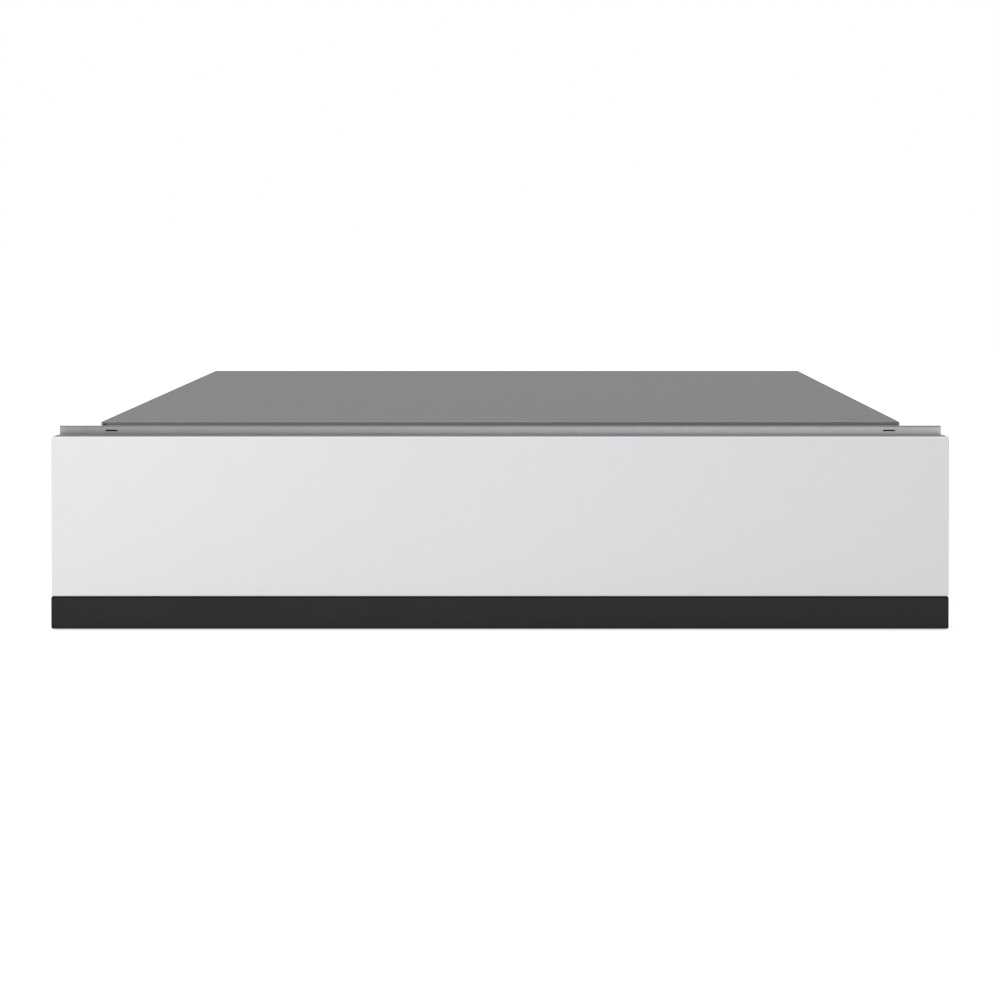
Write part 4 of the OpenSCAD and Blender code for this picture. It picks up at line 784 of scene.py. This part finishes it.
latch_pitch = (LATCH_END - LATCH_FRONT - LATCH_WIRE) / LATCH_TURNS
bm = bmesh.new()
tube(bm, [Vector((across, LATCH_FRONT + LATCH_WIRE / 2 + along, LATCH_Z + up)) * MM
          for along, across, up in helix(LATCH_COIL_R, latch_pitch, LATCH_TURNS, 20)],
     LATCH_WIRE / 2 * MM, 10)
made("latch_coil", bm, "latch_spring", ["spring_steel"], ("latch_spring",), smooth=60,
     weighted=False)


# Hoses, along the routes of their solids, in millimetres

HOSE_R, HOSE_LEAD, HOSE_BEND = 5, 2, 18     # radius, straight ends and reach of the curve's handles
CLAMP_PROFILE = [(4.9, -1.6), (5.7, -1.6), (5.9, -1.2), (5.9, 1.2), (5.7, 1.6), (4.9, 1.6)]
CLAMP_IN = 3                                # from a hose's end to its clamp


def hose_path(a, u, b, v):
    """Route from an end at a, which leaves along u, to one at b, which leaves along v."""
    a, u, b, v = Vector(a), Vector(u), Vector(b), Vector(v)
    p0, p1, p2, p3 = a + HOSE_LEAD * u, a + HOSE_BEND * u, b + HOSE_BEND * v, b + HOSE_LEAD * v
    steps = 24
    middle = []
    for i in range(steps + 1):
        t = i / steps
        middle.append((1 - t) ** 3 * p0 + 3 * t * (1 - t) ** 2 * p1
                      + 3 * t * t * (1 - t) * p2 + t ** 3 * p3)
    return [a] + middle + [b]


hoses = [
    hose_path((110, 46.5, 57), (0, 1, 0), (120, 67, 33), (0, -1, 0)),   # chamber to valve block
    hose_path((96, 96, 21), (-1, 0, 0), (52, 141, 66), (1, 0, 0)),      # valve block to pump
    hose_path((52, 169, 66), (1, 0, 0), (78, 169, 29), (-1, 0, 0)),     # pump to filter
]
bm = bmesh.new()
for path in hoses:
    tube(bm, [p * MM for p in path], HOSE_R * MM, 20)
made("soft_hoses", bm, "vacuum_hoses", ["hose_rubber"], ("vacuum_hoses",), smooth=60,
     weighted=False)

bm = bmesh.new()
for path in hoses:
    for end, inner in ((path[0], path[1]), (path[-1], path[-2])):
        along = (inner - end).normalized()
        lathe(bm, [(r * MM, h * MM) for r, h in CLAMP_PROFILE],
              (end + CLAMP_IN * along) * MM, along, 28, closed=True)
made("hose_clamps", bm, "drawer_screws", ["zinc_screws"], smooth=50, weighted=False)


# Control panel

slab_piece("touch_panel", "control_panel", 2.0, 0.4, 2, ["control_glass"])
panel_lo, panel_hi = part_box("control_panel")
panel_y = (panel_lo.y + panel_hi.y) / 2

# The printed signs, in millimetres; the places are along the panel from its middle
PRINT_IN, PRINT_OUT = 0.02, 0.03            # how far a mark reaches into and above the glass
LINE, SIGN = 0.5, 4.4                       # width of a line and size of a sign
POWER_X, POWER_R, POWER_BAR_Y = -132, 2.6, 1.9
LEVEL_X, DOTS_FROM, DOT_STEP, PLUS_FROM = (-92, 24), 16, 10, 52
DOT_R, DOT_HOLE = 1.0, 0.6
PLUS_ARM, PLUS_ARM_Y = 1.95, 1.22           # length and place of the plus sign's two upright arms
START_X, START = 112, [(-2.2, -2.5), (2.4, 0), (-2.2, 2.5)]
STOP_X, STOP_HOLE = 134, 3.4
DIVIDER_X, DIVIDER = (-112, -20, 96), (0.3, 9)
bm = bmesh.new()


def mark(outline, x, y=0.0, hole=None):
    """Printed mark, a hair above the glass; outline and hole lie round (x, y)."""
    levels = (panel_hi.z - PRINT_IN * MM, panel_hi.z + PRINT_OUT * MM)

    def at_levels(shape):
        return [[Vector(((x + u) * MM, panel_y + (y + v) * MM, z)) for u, v in shape]
                for z in levels]

    if hole is None:
        loft(bm, at_levels(outline))
    else:
        loft(bm, at_levels(outline) + at_levels(hole)[::-1], closed=True)


def bar(w, h):
    return [(-w / 2, -h / 2), (w / 2, -h / 2), (w / 2, h / 2), (-w / 2, h / 2)]


def arc(r, width, start, stop):
    steps = 28
    angles = [math.radians(start + (stop - start) * i / steps) for i in range(steps + 1)]
    outer, inner = r + width / 2, r - width / 2
    return ([(outer * math.cos(a), outer * math.sin(a)) for a in angles]
            + [(inner * math.cos(a), inner * math.sin(a)) for a in reversed(angles)])


# Power: an open ring with a bar
mark(arc(POWER_R, LINE, 125, 415), POWER_X)
mark(bar(LINE, POWER_R), POWER_X, POWER_BAR_Y)
# Two levels: minus, three dots of which the last is hollow, plus
for x in LEVEL_X:
    mark(bar(SIGN, LINE), x)
    mark(bar(SIGN, LINE), x + PLUS_FROM)
    mark(bar(LINE, PLUS_ARM), x + PLUS_FROM, PLUS_ARM_Y)
    mark(bar(LINE, PLUS_ARM), x + PLUS_FROM, -PLUS_ARM_Y)
    for i in range(3):
        mark(circle(DOT_R, 24), x + DOTS_FROM + DOT_STEP * i, 0,
             None if i < 2 else circle(DOT_HOLE, 24))
# Start, stop and the dividing lines
mark(START, START_X)
mark(bar(SIGN, SIGN), STOP_X, 0, bar(STOP_HOLE, STOP_HOLE))
for x in DIVIDER_X:
    mark(bar(*DIVIDER), x)
made("touch_marks", bm, "control_panel", ["print"], smooth=30, weighted=False)


# Pump and electrics seen from behind

soft_pieces(("motor_case", "motor_shell", 0.5, 2),
            ("pump_housing", "pump_casting", 0.5, 2),
            ("pump_saddle", "pump_bracket", 0.4, 2),
            ("exhaust_filter", "filter_can", 0.5, 2),
            ("mains_inlet", "inlet_socket", 0.5, 2),
            ("fan_frame", "fan_housing", 0.5, 2),
            ("fan_rotor", "fan_wheel", 0.2, 1))

# Power board, from front to back: capacitors, transformer, heat sink and relay
BOARD_TOP, BOARD_T = 9.6, 1.6   # upper side above the drawer's floor, and thickness
BOARD_NEAR = 0.02               # a face this far above the board is a part's
FACES_UP = 0.9                  # least rise of the normal of a capacitor's bare top
power_lo, power_hi = [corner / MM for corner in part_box("power_board")]
power_top = power_lo.z + BOARD_TOP
cap_end, coil_end, sink_end = (power_lo.y + (power_hi.y - power_lo.y) * share
                               for share in (0.36, 0.58, 0.66))


def on_board(low, high):
    """Test for the parts on the power board between two places along it."""
    return lambda p, n: p.z > power_top + BOARD_NEAR and low < p.y < high


soft_edges("power_board", "power_print", 0.25, 1, [
    ("zinc_screws", lambda p, n: p.z < power_top - BOARD_T - 0.1),
    ("aluminium", lambda p, n: n.z > FACES_UP and on_board(-math.inf, cap_end)(p, n)),
    ("cap_sleeve", on_board(-math.inf, cap_end)),
    ("winding_tape", on_board(cap_end, coil_end)),
    ("aluminium", on_board(coil_end, sink_end)),
    ("black_plastic", on_board(sink_end, math.inf)),
])

# Control board, with its connectors below and its brass spacers above
CONNECTOR_H, SPACER_H = 1.98, 2.98
board_lo, board_hi = [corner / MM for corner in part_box("control_board")]
soft_edges("control_board", "control_print", 0.15, 1, [
    ("black_plastic", lambda p, n: p.z < board_lo.z + CONNECTOR_H),
    ("brass", lambda p, n: p.z > board_hi.z - SPACER_H),
])

# Transformer: its winding stands out of the core at the front and at the back
WINDING_OUT = 11.4
core_lo, core_hi = [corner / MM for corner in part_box("transformer")]
soft_edges("transformer", "transformer_core", 0.6, 2, [
    ("winding_wire", lambda p, n: not core_lo.y + WINDING_OUT < p.y < core_hi.y - WINDING_OUT)])

# Valve block: its two solenoids, with a stem on each
STEM_H, SOLENOID_H = 4.1, 32
block_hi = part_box("valve_block")[1] / MM
soft_edges("valve_block", "valve_body", 0.4, 2, [
    ("zinc_screws", lambda p, n: p.z > block_hi.z - STEM_H),
    ("black_plastic", lambda p, n: p.z > block_hi.z - SOLENOID_H)])


# Studio

AMBIENT = 0.5           # strength of the world for all that the camera and reflections don't see
PAPER = 0.9             # grey of the floor
FLOOR = 40              # half of the floor's side, in metres
SEEN = ("Is Camera Ray", "Is Glossy Ray", "Is Transmission Ray")


def any_of(tree, kinds):
    """1 for rays of these kinds."""
    rays = add(tree, "ShaderNodeLightPath", {})
    last = rays.outputs[kinds[0]]
    for kind in kinds[1:]:
        last = add(tree, "ShaderNodeMath", {0: last, 1: rays.outputs[kind]},
                   operation="MAXIMUM").outputs[0]
    return last


def stage_material(name):
    """Pale paper that the camera and reflections see lifted to white; shadows stay."""
    material = bpy.data.materials.new(name)
    material.use_nodes = True
    tree = material.node_tree
    tree.nodes.clear()
    paper = add(tree, "ShaderNodeBsdfDiffuse", {"Color": (PAPER, PAPER, PAPER, 1)})
    lift = add(tree, "ShaderNodeMath", {0: any_of(tree, SEEN), 1: 1.0 - AMBIENT * PAPER + 0.01},
               operation="MULTIPLY")
    glow = add(tree, "ShaderNodeEmission", {"Strength": lift.outputs[0]})
    both = add(tree, "ShaderNodeAddShader", {0: paper.outputs[0], 1: glow.outputs[0]})
    add(tree, "ShaderNodeOutputMaterial", {"Surface": both.outputs[0]})
    return material


def plane(name, points, material):
    mesh = bpy.data.meshes.new(name)
    mesh.from_pydata(points, [], [tuple(range(len(points)))])
    mesh.materials.append(material)
    thing = bpy.data.objects.new(name, mesh)
    bpy.context.scene.collection.objects.link(thing)


plane("floor", [(-FLOOR, -FLOOR, 0), (FLOOR, -FLOOR, 0), (FLOOR, FLOOR, 0), (-FLOOR, FLOOR, 0)],
      stage_material("studio_floor"))

world = bpy.data.worlds.new("studio")
bpy.context.scene.world = world
world.use_nodes = True
air = world.node_tree
shade = add(air, "ShaderNodeMapRange",
            {"To Min": AMBIENT, "To Max": 1.0, "Value": any_of(air, SEEN)})
feed(air, air.nodes["Background"], {"Color": (1, 1, 1, 1), "Strength": shade.outputs["Result"]})


def lamp(name, place, aim, size, power, glossy=False):
    """Area lamp that only reflections show if it is glossy, and else only matt surfaces."""
    data = bpy.data.lights.new(name, "AREA")
    data.shape = "RECTANGLE"
    data.size, data.size_y = size
    data.energy = power
    thing = bpy.data.objects.new(name, data)
    thing.location = place
    thing.rotation_mode = "QUATERNION"
    thing.rotation_quaternion = (Vector(aim) - Vector(place)).to_track_quat("-Z", "Y")
    thing.visible_camera = False
    thing.visible_glossy = glossy
    thing.visible_diffuse = not glossy
    bpy.context.scene.collection.objects.link(thing)


lamp("key", (-1.5, -1.9, 0.9), (0, -0.2, 0.08), (1.0, 1.0), 26)
lamp("fill", (2.0, -2.2, 0.9), (0, 0, 0.05), (1.5, 1.5), 2)
lamp("rear", (0.3, 2.2, 1.2), (0, 0.1, 0.1), (2.2, 1.4), 6)
lamp("card", (0.45, -2.2, 0.32), (0, -0.2, 0.12), (1.2, 0.7), 5, glossy=True)
lamp("sky", (0, 0.15, 1.8), (0, 0.05, 0.1), (1.6, 0.8), 6.5)
lamp("sheen", (0, 0.15, 1.8), (0, 0.05, 0.1), (1.6, 0.8), 2, glossy=True)

# Camera, solved from the photograph: lens and shift put the front's corners where they are there
FRONT_Y = -0.275        # plane of the front
DISTANCE = 1.37678      # from the camera to it
TILT = 1                # angle, in degrees, at which the camera looks down
camera = bpy.data.cameras.new("camera")
camera.sensor_width = 36
camera.lens = 75.013
camera.shift_x = -0.024
camera.shift_y = -0.22998
camera.clip_start = 0.05
camera.clip_end = 100
viewer = bpy.data.objects.new("camera", camera)
viewer.location = (0.015944, FRONT_Y - DISTANCE, 0.262746)
viewer.rotation_euler = (math.radians(90 - TILT), 0, 0)
bpy.context.scene.collection.objects.link(viewer)
bpy.context.scene.camera = viewer
bpy.context.scene.view_settings.view_transform = "Standard"
